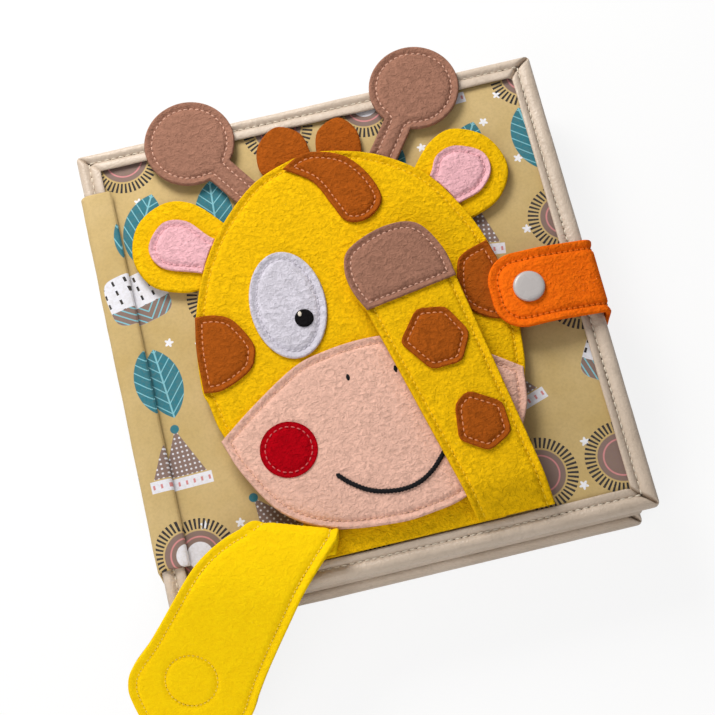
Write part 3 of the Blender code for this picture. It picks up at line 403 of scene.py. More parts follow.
def along_line(line, closed, pitch):
    """A function of arc length that gives points on a line, and evenly shared lengths on it."""
    whole = np.vstack([line, line[:1]]) if closed else line
    lengths = np.concatenate([[0], np.cumsum(np.linalg.norm(np.diff(whole, axis=0), axis=1))])
    count = max(2, round(lengths[-1] / pitch))

    def at(length):
        return np.array([np.interp(length, lengths, whole[:, axis]) for axis in (0, 1)]).T

    return at, np.linspace(0, lengths[-1], count + 1)


# Meshes


class Mesh:
    """Vertices and faces of one piece, with a material number for each face."""

    def __init__(self):
        self.points = []
        self.faces = []
        self.slots = []

    def add(self, points, faces, slot=0):
        base = len(self.points)
        self.points += [tuple(point) for point in points]
        self.faces += [tuple(base + int(index) for index in face) for face in faces]
        self.slots += [slot] * len(faces)
        return base

    def make(self, name, materials, carry=None):
        points = [carry(*point) for point in self.points] if carry else self.points
        faces = self.faces if volume(points, self.faces) > 0 else [face[::-1] for face in self.faces]
        data = bpy.data.meshes.new(name)
        data.from_pydata(points, [], faces)
        for material in materials:
            data.materials.append(material)
        data.polygons.foreach_set("material_index", self.slots)
        data.shade_smooth()
        data.set_sharp_from_angle(angle=math.radians(62))
        data.update()
        item = bpy.data.objects.new(name, data)
        bpy.context.scene.collection.objects.link(item)
        return item


def volume(points, faces):
    """Volume within the faces, below zero where they are turned inside out."""
    points = np.array(points)
    fans = [(face[0], face[i], face[i + 1]) for face in faces for i in range(1, len(face) - 1)]
    a, b, c = points[np.array(fans).T]
    return (a * np.cross(b, c)).sum() / 6


def ring_faces(first, second, closed=True):
    """Quads between two rows of vertex numbers."""
    count = len(first) if closed else len(first) - 1
    return [(first[i], first[(i + 1) % len(first)], second[(i + 1) % len(first)], second[i])
            for i in range(count)]


def filled(outline, inner):
    """Points and triangles inside an outline, and the numbers of the outline's own points."""
    points = [Vector(point * 1000) for point in np.vstack([outline, inner])]
    edges = [(i, (i + 1) % len(outline)) for i in range(len(outline))]
    found, _, faces, sources, _, _ = delaunay_2d_cdt(points, edges, [], 1, 0.001)
    faces = np.array([face if signed_area(found, face) > 0 else face[::-1] for face in faces])
    used = np.unique(faces)
    number = np.full(len(found), -1)
    number[used] = np.arange(len(used))
    border = np.zeros(len(outline), int)
    for index, origins in enumerate(sources):
        for origin in origins:
            if origin < len(outline):
                border[origin] = number[index]
    flat = np.array([found[index][:] for index in used]) / 1000
    return flat, number[faces], border


def signed_area(points, face):
    a, b, c = (points[index] for index in face[:3])
    return (b - a).cross(c - a)


def spread_points(outline, avoided, step):
    """A loose honeycomb of points within an outline's box, clear of the lines to avoid."""
    low = outline.min(0)
    high = outline.max(0)
    rows = np.arange(low[1] + step / 2, high[1], step * 0.87)
    points = [(x + step / 2 * (index % 2), y) for index, y in enumerate(rows)
              for x in np.arange(low[0] + step / 4, high[0], step)]
    points = np.array(points)
    for line, closed, room in avoided:
        points = points[distances(points, line, closed) > room]
    return points


class Seam:
    """A sewn line: where it runs, where its needle holes lie and how wide its border is."""

    def __init__(self, line, closed=True, pitch=STITCH_PITCH, border=0.0, groove=GROOVE_DEPTH):
        self.line = line
        self.closed = closed
        self.border = border
        self.groove = groove
        self.at, self.stops = along_line(line, closed, pitch)
        self.holes = self.at(self.stops)

    def rows(self):
        fine = self.at(np.arange(0, self.stops[-1], 0.0006))
        side = left_normals(fine, self.closed)
        return np.vstack([fine + side * reach for reach in (0, 0.0007, -0.0007, 0.0014, -0.0014)])

    def depth(self, points, rim_gap):
        """How far the stitches pull the cloth down at each point, with a wide slope in the border."""
        gap = distances(points, self.line, self.closed)
        reach = np.where(rim_gap < self.border, BORDER_REACH, GROOVE_WIDTH)
        depth = self.groove * np.exp(-(gap / reach) ** 2)
        near = gap < 3 * GROOVE_WIDTH
        offset = points[near, None] - self.holes
        hole_gap = np.sqrt((offset ** 2).sum(2).min(1))
        depth[near] += HOLE_DEPTH * np.exp(-(hole_gap / HOLE_WIDTH) ** 2)
        return depth


def add_stitches(mesh, seam, level, side=1, sides=6):
    """Short arched threads from hole to hole, and dark discs of painted shade in the holes; side is -1 on
    an underside.
    """
    turns = np.linspace(0, math.tau, sides, endpoint=False)
    for start, end in zip(seam.stops, seam.stops[1:]):
        shares = np.linspace(0, 1, 6)
        places = seam.at(start + STITCH_GAP / 2 + (end - start - STITCH_GAP) * shares)
        normals = left_normals(places, False)
        lean = chance.uniform(-THREAD_LEAN, THREAD_LEAN)
        rows = []
        for share, place, normal in zip(shares, places, normals):
            arch = math.sin(math.pi * share) ** 0.5
            radius = THREAD_RADIUS * (0.70 + 0.30 * arch)
            centre = level + side * (arch * THREAD_ARCH - THREAD_SINK)
            drift = normal * lean * (share - 0.5) * 2
            rows.append([(*(place + drift + normal * radius * math.cos(turn)),
                          centre + side * radius * math.sin(turn)) for turn in turns])
        add_rows(mesh, rows, 1, side < 0)
    # Dark discs at the needle holes: painted shade
    for place in seam.holes:
        rows = [turned_row(place, radius, level + side * height, turns) for radius, height in HOLE_RINGS]
        add_rows(mesh, rows, 2, side < 0)


def turned_row(centre, radius, level, turns):
    """A level ring of points around a centre."""
    return [(centre[0] + radius * math.cos(turn), centre[1] + radius * math.sin(turn), level)
            for turn in turns]


def add_rows(mesh, rows, slot=0, flipped=False, looped=False):
    """Closes equal rings of points into a skin, with flat ends unless the last ring meets the first."""
    count = len(rows[0])
    numbers = [[index * count + step for step in range(count)] for index in range(len(rows))]
    following = numbers[1:] + numbers[:1] if looped else numbers[1:]
    faces = [face for one, two in zip(numbers, following) for face in ring_faces(one, two)]
    if not looped:
        faces += [numbers[0][::-1], numbers[-1]]
    if flipped:
        faces = [face[::-1] for face in faces]
    mesh.add([point for row in rows for point in row], faces, slot)


def add_slab(mesh, outline, low, high, seams=(), rim=None, plies=1, under=False, pockets=(),
             step=FILL_STEP, rounding=EDGE_ROUND, lip=LIP_RISE, puff=FIELD_RISE):
    """A soft slab: rounded along its rim, pulled in at its seams, its plies showing in its side."""
    outline = counter_clockwise(subdivided(outline, OUTLINE_STEP))
    rim_line, rim_closed = rim if rim else (outline, True)
    rows = [outline + left_normals(outline) * distance for distance in (rounding * 0.35, rounding)]
    rows += [seam.rows() for seam in seams]
    avoided = [(outline, True, step * 0.45)]
    avoided += [(seam.line, seam.closed, SEAM_CLEARANCE) for seam in seams]
    inner = np.vstack([*rows, spread_points(outline, avoided, step)])
    inner = inner[distances(inner, outline) > rounding * 0.3]
    points, faces, border = filled(outline, inner)
    rim_gap = distances(points, rim_line, rim_closed)
    edge = np.clip(rim_gap / rounding, 0, 1)
    drop = rounding * (1 - np.sqrt(1 - (1 - edge) ** 2))
    pull = np.zeros(len(points))
    curl = np.zeros(len(points))
    for seam in seams:
        pull = np.maximum(pull, seam.depth(points, rim_gap))
        if seam.border:
            curl = np.maximum(curl, np.clip(1 - rim_gap / seam.border, 0, 1))
    uneven = np.array([noise.noise(Vector((x * 130, y * 130, high * 900))) for x, y in points])
    raised = high + puff if seams else high
    pull = np.minimum(pull, raised - low - LEAST_FELT)
    top = raised + lip * curl + FELT_UNEVEN * uneven - drop - pull
    bottom = low + drop * 0.7 + (pull if under else 0)
    for centre, radius, depth in pockets:
        inside = np.linalg.norm(points - centre, axis=1) < radius
        top[inside] -= max(depth, 0)
        bottom[inside] += max(-depth, 0)
    count = len(points)
    base = mesh.add(np.column_stack([points, top]), faces)
    mesh.add(np.column_stack([points, bottom]), faces[:, ::-1])
    outward = -left_normals(outline)
    rings = [border + base + count]
    for share, bulge in SIDE_PROFILES[plies]:
        flat = points[border] + outward * bulge
        level = bottom[border] + (top[border] - bottom[border]) * share
        start = mesh.add(np.column_stack([flat, level]), [])
        rings.append(np.arange(len(border)) + start)
    rings.append(border + base)
    for one, two in zip(rings, rings[1:]):
        quads = ring_faces(one, two)
        mesh.faces += [tuple(int(index) for index in quad) for quad in quads]
        mesh.slots += [0] * len(quads)


# Materials


class Finish:
    """A material's node tree, written node by node."""

    def __init__(self, name):
        self.material = bpy.data.materials.new(name)
        self.material.use_nodes = True
        self.tree = self.material.node_tree
        self.shader = self.tree.nodes["Principled BSDF"]
        self.place = self.node("ShaderNodeTexCoord").outputs["Object"]

    def node(self, kind, inputs=(), **settings):
        made = self.tree.nodes.new(kind)
        for name, value in settings.items():
            setattr(made, name, value)
        for socket, value in dict(inputs).items():
            self.give(made.inputs[socket], value)
        return made

    def give(self, socket, value):
        if isinstance(value, bpy.types.NodeSocket):
            self.tree.links.new(value, socket)
        else:
            socket.default_value = value

    def math(self, operation, first, second=0.0, third=0.0):
        made = self.node("ShaderNodeMath", {0: first, 1: second, 2: third}, operation=operation)
        return made.outputs[0]

    def vector(self, operation, first, second=(0, 0, 0)):
        made = self.node("ShaderNodeVectorMath", {0: first, 1: second}, operation=operation)
        return made.outputs["Value"] if operation in ("LENGTH", "DOT_PRODUCT") else made.outputs["Vector"]

    def noise(self, scale, detail=3.0, roughness=0.55, distortion=0.0, place=None):
        made = self.node("ShaderNodeTexNoise", {"Vector": place or self.place, "Scale": scale,
                                                "Detail": detail, "Roughness": roughness,
                                                "Distortion": distortion})
        return made.outputs["Fac"]

    def spread(self, value, low, high, start, end):
        made = self.node("ShaderNodeMapRange", {"Value": value, "From Min": low, "From Max": high,
                                                "To Min": start, "To Max": end})
        return made.outputs["Result"]

    def mix(self, share, first, second, blend="MIX"):
        made = self.node("ShaderNodeMix", data_type="RGBA", blend_type=blend)
        self.give(made.inputs["Factor"], share)
        self.give(made.inputs["A"], colour(first))
        self.give(made.inputs["B"], colour(second))
        return made.outputs["Result"]

    def mix_values(self, share, first, second):
        made = self.node("ShaderNodeMix", {"Factor": share, "A": first, "B": second}, data_type="FLOAT")
        return made.outputs["Result"]

    def surface(self, base, roughness, height=None, strength=0.5, reach=0.0003, specular=0.5):
        self.give(self.shader.inputs["Base Color"], colour(base))
        self.give(self.shader.inputs["Roughness"], roughness)
        self.give(self.shader.inputs["Specular IOR Level"], specular)
        if height is not None:
            bump = self.node("ShaderNodeBump", {"Height": height, "Strength": strength, "Distance": reach})
            self.give(self.shader.inputs["Normal"], bump.outputs["Normal"])
        return self.material


def colour(value):
    """A colour of three numbers gets its alpha; a socket stays as it is."""
    return (*value, 1.0) if isinstance(value, tuple) and len(value) == 3 else value


def shade(base, factor):
    return tuple(min(1.0, channel * factor) for channel in base)


def tint(base, share):
    """The colour moved towards white."""
    return tuple(channel + (1 - channel) * share for channel in base)


def felt_finish(name):
    """Pressed wool: matted clumps with painted shade and highlight on them, stray fibres, a soft sheen and
    slightly uneven dye.
    """
    base = FINISHES[name]
    finish = Finish(name)
    wisps = finish.node("ShaderNodeMapping", {"Vector": finish.place, "Rotation": (0, 0, 0.5),
                                              "Scale": (1.0, 1.5, 1.0)}).outputs["Vector"]
    clumps = finish.noise(370, 3, 0.58, 0.7, wisps)
    tufts = finish.noise(900, 2, 0.5, 0.8)
    patches = finish.noise(60, 2, 0.5)
    tone = finish.mix_values(0.38, clumps, tufts)
    # The folded leg's lighter yellow, in part painted light, also gets a smoother, flatter grain
    smooth_lit_back = name == "lit_yellow_back"
    spread = 0.07 if smooth_lit_back else 0.20
    share = finish.spread(tone, 0.38, 0.62, 0, 1)
    # Darker on the low clumps and lighter on the high ones, by the same noise that raises the bump: partly
    # the felt's uneven fibre, partly painted shade and highlight
    dyed = finish.mix(share, shade(base, 1 - spread), shade(base, 1 + spread))
    dyed = finish.mix(finish.spread(patches, 0.3, 0.7, 0, 0.5), dyed, shade(base, 0.93))
    for socket, value in (("Weight", 0.06), ("Roughness", 0.6), ("Tint", colour(base))):
        finish.give(finish.shader.inputs["Sheen " + socket], value)
    return finish.surface(dyed, 0.95, tone, 0.8, 0.0008 if smooth_lit_back else 0.0018, 0.03)


def thread_finish(name):
    """Twisted polyester thread: fine slanting plies."""
    base = THREADS[name]
    finish = Finish(name + "_thread")
    plies = finish.node("ShaderNodeTexWave", {"Vector": finish.place, "Scale": 900, "Distortion": 1.5},
                        bands_direction="DIAGONAL").outputs["Fac"]
    uneven = finish.noise(300, 2)
    # Darker in the grooves between the plies and lighter on their crests, as the bump runs: painted shade
    # and highlight
    dyed = finish.mix(plies, shade(base, 0.80), shade(base, 1.12))
    dyed = finish.mix(finish.spread(uneven, 0.35, 0.65, 0, 0.4), dyed, shade(base, 0.90))
    return finish.surface(dyed, 0.7, plies, 0.4, 0.0001, 0.15)


def hole_shade(name):
    """Painted shade for the inside of a needle hole: the felt's colour, darkened."""
    base = shade(FINISHES[name], 0.45 if name == "orange_felt" else 0.30)
    finish = Finish(name + "_hole_shade")
    fuzz = finish.noise(2500, 2)
    return finish.surface(finish.mix(fuzz, shade(base, 0.7), base), 1.0, specular=0.0)


def leather_finish():
    """Soft imitation leather: fine pebbling, shallow creases and a dull gloss."""
    base = FINISHES["binding"]
    finish = Finish("binding")
    grain = finish.node("ShaderNodeTexVoronoi", {"Vector": finish.place, "Scale": 1300},
                        feature="SMOOTH_F1").outputs["Distance"]
    creases = finish.noise(150, 4, 0.6, 2.5)
    cloudy = finish.noise(38, 3, 0.5)
    tone = finish.mix(finish.spread(cloudy, 0.3, 0.7, 0, 1), shade(base, 0.88), tint(base, 0.06))
    # Darker in the low valleys of the creases: painted shade
    tone = finish.mix(finish.spread(creases, 0.35, 0.5, 0.30, 0), tone, shade(base, 0.70))
    height = finish.mix_values(0.6, grain, creases)
    roughness = finish.spread(creases, 0.3, 0.7, 0.50, 0.38)
    return finish.surface(tone, roughness, height, 0.55, 0.0007, 0.45)


def weave(finish, place, pitch=0.00042):
    """Height of a plain weave with uneven yarns, from a flat place on the cloth."""
    wobble = finish.noise(260, 2, 0.5)
    split = finish.node("ShaderNodeSeparateXYZ", {"Vector": place})
    yarns = []
    for axis in ("X", "Y"):
        shift = finish.math("MULTIPLY", wobble, 5.0)
        turns = finish.math("MULTIPLY_ADD", split.outputs[axis], math.tau / pitch, shift)
        yarns.append(finish.math("SINE", turns))
    return finish.math("MAXIMUM", yarns[0], yarns[1])


def cotton_finish():
    """Plain woven cotton for the pages."""
    base = FINISHES["lining"]
    finish = Finish("lining")
    cloth = weave(finish, finish.place)
    cloudy = finish.noise(60, 3)
    slubs = finish.noise(700, 2, 0.6)
    dyed = finish.mix(finish.spread(cloudy, 0.3, 0.7, 0, 1), shade(base, 0.94), tint(base, 0.10))
    dyed = finish.mix(finish.spread(slubs, 0.3, 0.7, 0.18, 0), dyed, shade(base, 0.74))
    height = finish.mix_values(0.5, cloth, slubs)
    return finish.surface(dyed, 0.88, height, 0.3, 0.0002)


def local_cells(finish, place, size, turn, looseness, shift):
    """The cover's plane parted into loose cells: place in the cell, its distance and three chances."""
    moved = finish.vector("ADD", place, shift)
    scaled = finish.vector("MULTIPLY", moved, (1 / size, 1 / size, 0))
    cells = finish.node("ShaderNodeTexVoronoi", {"Vector": scaled, "Scale": 1.0, "Randomness": looseness},
                        voronoi_dimensions="2D")
    offset = finish.vector("SUBTRACT", scaled, cells.outputs["Position"])
    local = finish.vector("MULTIPLY", offset, (size * 1000, size * 1000, 0))
    chances = finish.node("ShaderNodeSeparateColor", {"Color": cells.outputs["Color"]})
    angle = finish.math("MULTIPLY_ADD", chances.outputs["Red"], turn, -turn / 2)
    spun = finish.node("ShaderNodeVectorRotate", {"Vector": local, "Angle": angle}, rotation_type="Z_AXIS")
    parts = finish.node("ShaderNodeSeparateXYZ", {"Vector": spun.outputs["Vector"]})
    return parts.outputs["X"], parts.outputs["Y"], chances.outputs["Green"], chances.outputs["Blue"]


def power_sum(finish, x, y, power):
    parts = [finish.math("POWER", finish.math("ABSOLUTE", value), power) for value in (x, y)]
    return finish.math("ADD", *parts)


def radius_of(finish, x, y):
    return finish.math("SQRT", power_sum(finish, x, y, 2.0))


def inside(finish, value, limit):
    """1 where a value is under its limit, with an edge as soft as ink on cotton."""
    made = finish.node("ShaderNodeMapRange", {"Value": value, "From Min": limit, "From Max": limit - 0.25})
    return made.outputs["Result"]


def both(finish, first, second):
    return finish.math("MULTIPLY", first, second)


def pick(finish, value, low, high):
    return both(finish, finish.math("GREATER_THAN", value, low), finish.math("LESS_THAN", value, high))


def dots(finish, x, y, pitch, radius):
    """Rows of dots: 1 on a dot."""
    near = []
    for value in (x, y):
        near.append(finish.math("SUBTRACT", finish.math("PINGPONG", value, pitch), pitch / 2))
    return inside(finish, radius_of(finish, *near), radius)


def printed_finish():
    """Mustard cotton printed with leaves, rayed discs, cones, spotted squares and small stars."""
    base = FINISHES["print_cloth"]
    taupe = (0.22, 0.145, 0.125)
    teal = (0.018, 0.165, 0.215)
    ink = (0.010, 0.009, 0.014)
    white = (0.76, 0.76, 0.82)
    pale_teal = (0.20, 0.50, 0.58)
    pink = (0.62, 0.24, 0.25)
    finish = Finish("print_cloth")
    split = finish.node("ShaderNodeSeparateXYZ", {"Vector": finish.place})
    unrolled = finish.math("ADD", split.outputs["X"], split.outputs["Z"])
    flat = finish.node("ShaderNodeCombineXYZ", {"X": unrolled, "Y": split.outputs["Y"]}).outputs["Vector"]
    cloudy = finish.noise(45, 3)
    slubs = finish.noise(900, 2, 0.6)
    ground = finish.mix(finish.spread(cloudy, 0.3, 0.7, 0, 1), shade(base, 0.92), tint(base, 0.05))

    x, y, kind, _ = local_cells(finish, flat, 0.0160, 1.0, 0.95, (0.004, 0.009, 0))
    petals = finish.math("COSINE", finish.math("MULTIPLY", finish.math("ARCTAN2", y, x), 5.0))
    reach = finish.math("MULTIPLY_ADD", petals, 0.48, 1.65)
    star = inside(finish, finish.math("SUBTRACT", radius_of(finish, x, y), reach), 0.0)
    star = both(finish, star, finish.math("LESS_THAN", kind, 0.42))
    dyed = finish.mix(star, ground, tint(white, 0.3))

    x, y, kind, other = local_cells(finish, flat, 0.0350, 1.1, 0.30, (0.0190, 0.0105, 0))
    radius = radius_of(finish, x, y)
    across = finish.math("ABSOLUTE", x)

    disc = inside(finish, radius, 10.2)
    angle = finish.math("ARCTAN2", y, x)
    rays = finish.math("GREATER_THAN", finish.math("SINE", finish.math("MULTIPLY", angle, 46.0)), 0.0)
    ring = both(finish, rays, pick(finish, radius, 10.8, 15.2))
    core = inside(finish, radius, 5.6)
    rim = inside(finish, finish.math("ABSOLUTE", finish.math("ADD", radius, -7.6)), 0.45)
    sun = finish.mix(disc, dyed, taupe)
    sun = finish.mix(both(finish, core, finish.math("GREATER_THAN", other, 0.35)), sun, white)
    sun = finish.mix(rim, sun, pink)
    sun = finish.mix(ring, sun, ink)

    side = finish.math("SUBTRACT", across, -8.0)
    blade = inside(finish, radius_of(finish, side, finish.math("MULTIPLY", y, 0.90)), 16.2)
    slant = finish.math("ADD", across, finish.math("MULTIPLY", y, -1.0))
    veins = finish.math("LESS_THAN", finish.math("PINGPONG", slant, 2.3), 0.30)
    rib = finish.math("LESS_THAN", across, 0.36)
    leaf = finish.mix(blade, dyed, teal)
    leaf = finish.mix(both(finish, blade, finish.math("MAXIMUM", veins, rib)), leaf, pale_teal)

    slope = finish.math("MULTIPLY_ADD", across, 2.2, y)
    cone_area = both(finish, inside(finish, slope, 13.0), finish.math("GREATER_THAN", y, -7.0))
    cone = finish.mix(cone_area, dyed, taupe)
    cone = finish.mix(both(finish, cone_area, dots(finish, x, y, 2.0, 0.55)), cone, white)
    tassel = inside(finish, radius_of(finish, x, finish.math("ADD", y, -13.0)), 2.0)
    cone = finish.mix(tassel, cone, teal)
    band = both(finish, pick(finish, y, -12.5, -7.6), inside(finish, across, 11.0))
    cone = finish.mix(band, cone, white)
    notches = finish.math("LESS_THAN", finish.math("PINGPONG", x, 1.6), 0.45)
    cone = finish.mix(both(finish, both(finish, band, notches), pick(finish, y, -11.0, -9.2)), cone, pink)

    patch = inside(finish, finish.math("POWER", power_sum(finish, x, y, 4.0), 0.25), 11.2)
    ticks = both(finish, finish.math("LESS_THAN", finish.math("PINGPONG", x, 2.6), 0.50),
                 finish.math("LESS_THAN", finish.math("PINGPONG", y, 2.2), 1.1))
    spotted = finish.mix(patch, dyed, white)
    spotted = finish.mix(both(finish, patch, ticks), spotted, ink)
    half = both(finish, patch, finish.math("LESS_THAN", y, -3.5))
    spotted = finish.mix(half, spotted, taupe)
    half = both(finish, half, finish.math("LESS_THAN", finish.math("PINGPONG", slant, 1.7), 0.4))
    spotted = finish.mix(half, spotted, pale_teal)

    motifs = ((-0.1, 0.28, sun), (0.28, 0.52, leaf), (0.52, 0.74, cone), (0.74, 1.1, spotted))
    for low, high, motif in motifs:
        dyed = finish.mix(pick(finish, kind, low, high), dyed, motif)

    cloth = weave(finish, flat)
    dyed = finish.mix(finish.spread(slubs, 0.3, 0.6, 0.16, 0), dyed, shade(base, 0.45))
    height = finish.mix_values(0.5, cloth, slubs)
    return finish.surface(dyed, 0.86, height, 0.35, 0.0002)


def cord_finish():
    base = FINISHES["black_cord"]
    finish = Finish("black_cord")
    fibres = finish.noise(1800, 3, 0.7, 1.0)
    dyed = finish.mix(finish.spread(fibres, 0.3, 0.7, 0, 1), base, shade(base, 2.5))
    return finish.surface(dyed, 0.85, fibres, 0.5, 0.0003, 0.08)


def plastic_finish():
    """Glossy white resin with faint swirls from the mould."""
    finish = Finish("snap_plastic")
    swirls = finish.noise(120, 2, 0.5, 1.5)
    tone = finish.mix(swirls, (0.42, 0.39, 0.385), (0.48, 0.45, 0.44))
    return finish.surface(tone, finish.spread(swirls, 0.3, 0.7, 0.22, 0.30), swirls, 0.06, 0.0002)


def steel_finish():
    """Nickel plate with fine turning marks."""
    finish = Finish("steel")
    streaks = finish.node("ShaderNodeMapping", {"Vector": finish.place, "Scale": (1, 60, 1)})
    marks = finish.noise(90, 3, 0.6, 0, streaks.outputs["Vector"])
    tone = finish.mix(marks, (0.50, 0.51, 0.53), (0.62, 0.63, 0.65))
    finish.shader.inputs["Metallic"].default_value = 1.0
    return finish.surface(tone, finish.spread(marks, 0.3, 0.7, 0.30, 0.42), marks, 0.1, 0.0001)


materials = {name: felt_finish(name) for name in FINISHES if name.endswith(("_felt", "_back"))}
materials["binding"] = leather_finish()
materials["lining"] = cotton_finish()
materials["print_cloth"] = printed_finish()
materials["black_cord"] = cord_finish()
materials["snap_plastic"] = plastic_finish()
materials["steel"] = steel_finish()
# Each sewn finish: its own colour, its thread, and the painted shade in its needle holes
sewn = {name: [materials[name], thread_finish(name), hole_shade(name)] for name in THREADS}


# Putting a piece on the frame


def settle(item, nodes, slot, body=None, blend=None):
    """Let a piece stand for its nodes: hide them, and fasten the piece to a body, or, given a blend, bake
    its place into its mesh.
    """
    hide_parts(*nodes)
    if blend:
        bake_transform(item)
    else:
        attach(item, body or frame["nodes"][nodes[0]]["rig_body"])
    return item


def felt_piece(node, outline, finish, seam_inset=None, under=None, carry=None, **options):
    """A flat felt piece on its node's level, sewn on along a line inside its edge."""
    low, high = (corner.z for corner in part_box(node))
    outline = counter_clockwise(outline)
    seams = []
    if seam_inset:
        line = inset(outline, seam_inset)
        seen = line if under is None else uncovered(line, under)
        seams = [Seam(seen, under is None, border=seam_inset)]
    if under is not None:
        outline = tucked(outline, under)
    mesh = Mesh()
    add_slab(mesh, outline, low, high, seams, **options)
    for seam in seams:
        add_stitches(mesh, seam, high + FIELD_RISE - GROOVE_DEPTH)
    item = mesh.make(node + "_felt", sewn.get(finish, [materials[finish]]), carry)
    return settle(item, [node], finish)


# The giraffe's face


def horn_line(centre_share, foot_share):
    centre = on_cover(centre_share)
    foot = on_cover(foot_share)
    radius = HORN_RADIUS_SHARE * COVER_WIDTH
    half_stem = HORN_STEM_SHARE * COVER_WIDTH
    along = (foot - centre) / np.linalg.norm(foot - centre)
    heading = math.atan2(along[1], along[0])
    opening = math.asin(half_stem / radius)
    turns = np.linspace(heading + opening, heading + math.tau - opening, 64)
    knob = centre + radius * np.stack([np.cos(turns), np.sin(turns)], 1)
    across = np.array((-along[1], along[0]))
    return np.vstack([knob, foot - across * half_stem, foot + across * half_stem])


def carry_neck(x, y, height):
    """The neck is pressed flat where its end is sewn down."""
    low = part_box("neck")[0].z
    pressed = math.exp(-((y - SEAM_Y) / NECK_PRESS_REACH) ** 2)
    return x, y, low + (height - low) * (1 - NECK_PRESS * pressed)


def make_face():
    head = cover_line(HEAD_SHARES)
    felt_piece("neck", cover_line(NECK_SHARES, (0, 2, 3, 5)), "yellow_felt", carry=carry_neck)
    felt_piece("head_back_layer", inset(counter_clockwise(head), 0.0098), "yellow_felt")
    felt_piece("head_front_layer", head, "yellow_felt", 0.0031)
    felt_piece("ear_left", cover_line(EAR_LEFT_SHARES, (8, 9)), "yellow_felt", plies=2)
    felt_piece("ear_right", cover_line(EAR_RIGHT_SHARES, (7, 8)), "yellow_felt", plies=2)
    felt_piece("inner_ear_left", cover_line(INNER_EAR_LEFT_SHARES, (0, 7)), "pink_felt", 0.0025, head)
    felt_piece("inner_ear_right", cover_line(INNER_EAR_RIGHT_SHARES, (0, 8)), "pink_felt", 0.0025, head)
    for side, shares in HORN_SHARES.items():
        felt_piece("horn_" + side, horn_line(*shares), "brown_felt", 0.0031, plies=2)
    felt_piece("mane_lobe_left", cover_line(MANE_LEFT_SHARES, (0, 6)), "rust_felt")
    felt_piece("mane_lobe_right", cover_line(MANE_RIGHT_SHARES, (0, 6)), "rust_felt")
    felt_piece("muzzle", cover_line(MUZZLE_SHARES, (0, 8)), "peach_felt", 0.0030, plies=2)
    felt_piece("forelock", cover_line(FORELOCK_SHARES, (0,)), "rust_felt", 0.0026)
    felt_piece("cheek_patch_left", cover_line(CHEEK_LEFT_SHARES, (0, 7)), "rust_felt", 0.0027)
    felt_piece("cheek_patch_right", cover_line(CHEEK_RIGHT_SHARES, (2, 5)), "rust_felt", 0.0027)
    eye_radii = of_width(EYE_RADII_SHARE)
    pupil_radius = PUPIL_RADIUS_SHARE * COVER_WIDTH
    blush_radius = BLUSH_RADIUS_SHARE * COVER_WIDTH
    for side in ("left", "right"):
        felt_piece("eye_" + side, ellipse(on_cover(EYE_SHARES[side]), eye_radii), "white_felt", 0.0031)
        pupil = on_cover(PUPIL_SHARES[side])
        felt_piece("pupil_" + side, ellipse(pupil, (pupil_radius, pupil_radius)), "black_felt", step=0.001)
        make_glint(side, pupil + np.array((-0.0014, 0.0020)))
        blush = on_cover(BLUSH_SHARES[side])
        felt_piece("blush_" + side, ellipse(blush, (blush_radius, blush_radius)), "red_felt", 0.0021,
                   step=0.0013, lip=0, puff=-0.0002)
        make_nostril(side)
    make_smile()


def make_glint(side, centre):
    """The white stitch that lights up a pupil."""
    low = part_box("pupil_" + side)[1].z - 0.0002
    mesh = Mesh()
    add_slab(mesh, ellipse(centre, (0.0007, 0.0010), 24), low, low + 0.0006, step=0.0004, rounding=0.0002)
    item = mesh.make("glint_" + side, [sewn["binding"][1]])
    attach(item, "front_cover")


def make_nostril(side):
    """A short row of black satin stitches on the muzzle."""
    centre = on_cover(NOSTRIL_SHARES[side])
    mesh = Mesh()
    for share in np.linspace(-1, 1, 7):
        half = 0.0017 * math.sqrt(max(0.12, 1 - (share * 0.9) ** 2))
        x = centre[0] + share * 0.0006
        tube = []
        for turn in np.linspace(-1, 1, 7):
            level = MUZZLE_TOP + FIELD_RISE + 0.0002 * math.cos(turn * math.pi / 2) - 0.0001
            tube.append((x, centre[1] + half * turn, level))
        add_tube(mesh, tube, 0.00016, 6)
    item = mesh.make("nostril_" + side, [materials["black_cord"]])
    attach(item, "front_cover")


def add_tube(mesh, path, radius, sides=10, twist=0.0, lobes=0):
    """A round or stranded tube along a path that lies nearly flat."""
    path = np.array(path)
    ahead = np.gradient(path, axis=0)
    ahead /= np.linalg.norm(ahead, axis=1)[:, None]
    side = np.cross((0, 0, 1), ahead)
    side /= np.linalg.norm(side, axis=1)[:, None]
    up = np.cross(ahead, side)
    lengths = np.concatenate([[0], np.cumsum(np.linalg.norm(np.diff(path, axis=0), axis=1))])
    turns = np.linspace(0, math.tau, sides, endpoint=False)
    rows = []
    for index, point in enumerate(path):
        end = min(lengths[index], lengths[-1] - lengths[index]) / radius
        size = radius * min(1, 0.45 + 0.35 * end)
        strands = 1 + (0.16 * np.cos(lobes * (turns - twist * lengths[index])) if lobes else 0 * turns)
        rows.append(point + size * (strands * np.cos(turns))[:, None] * side[index]
                    + size * (strands * np.sin(turns))[:, None] * up[index])
    add_rows(mesh, rows)


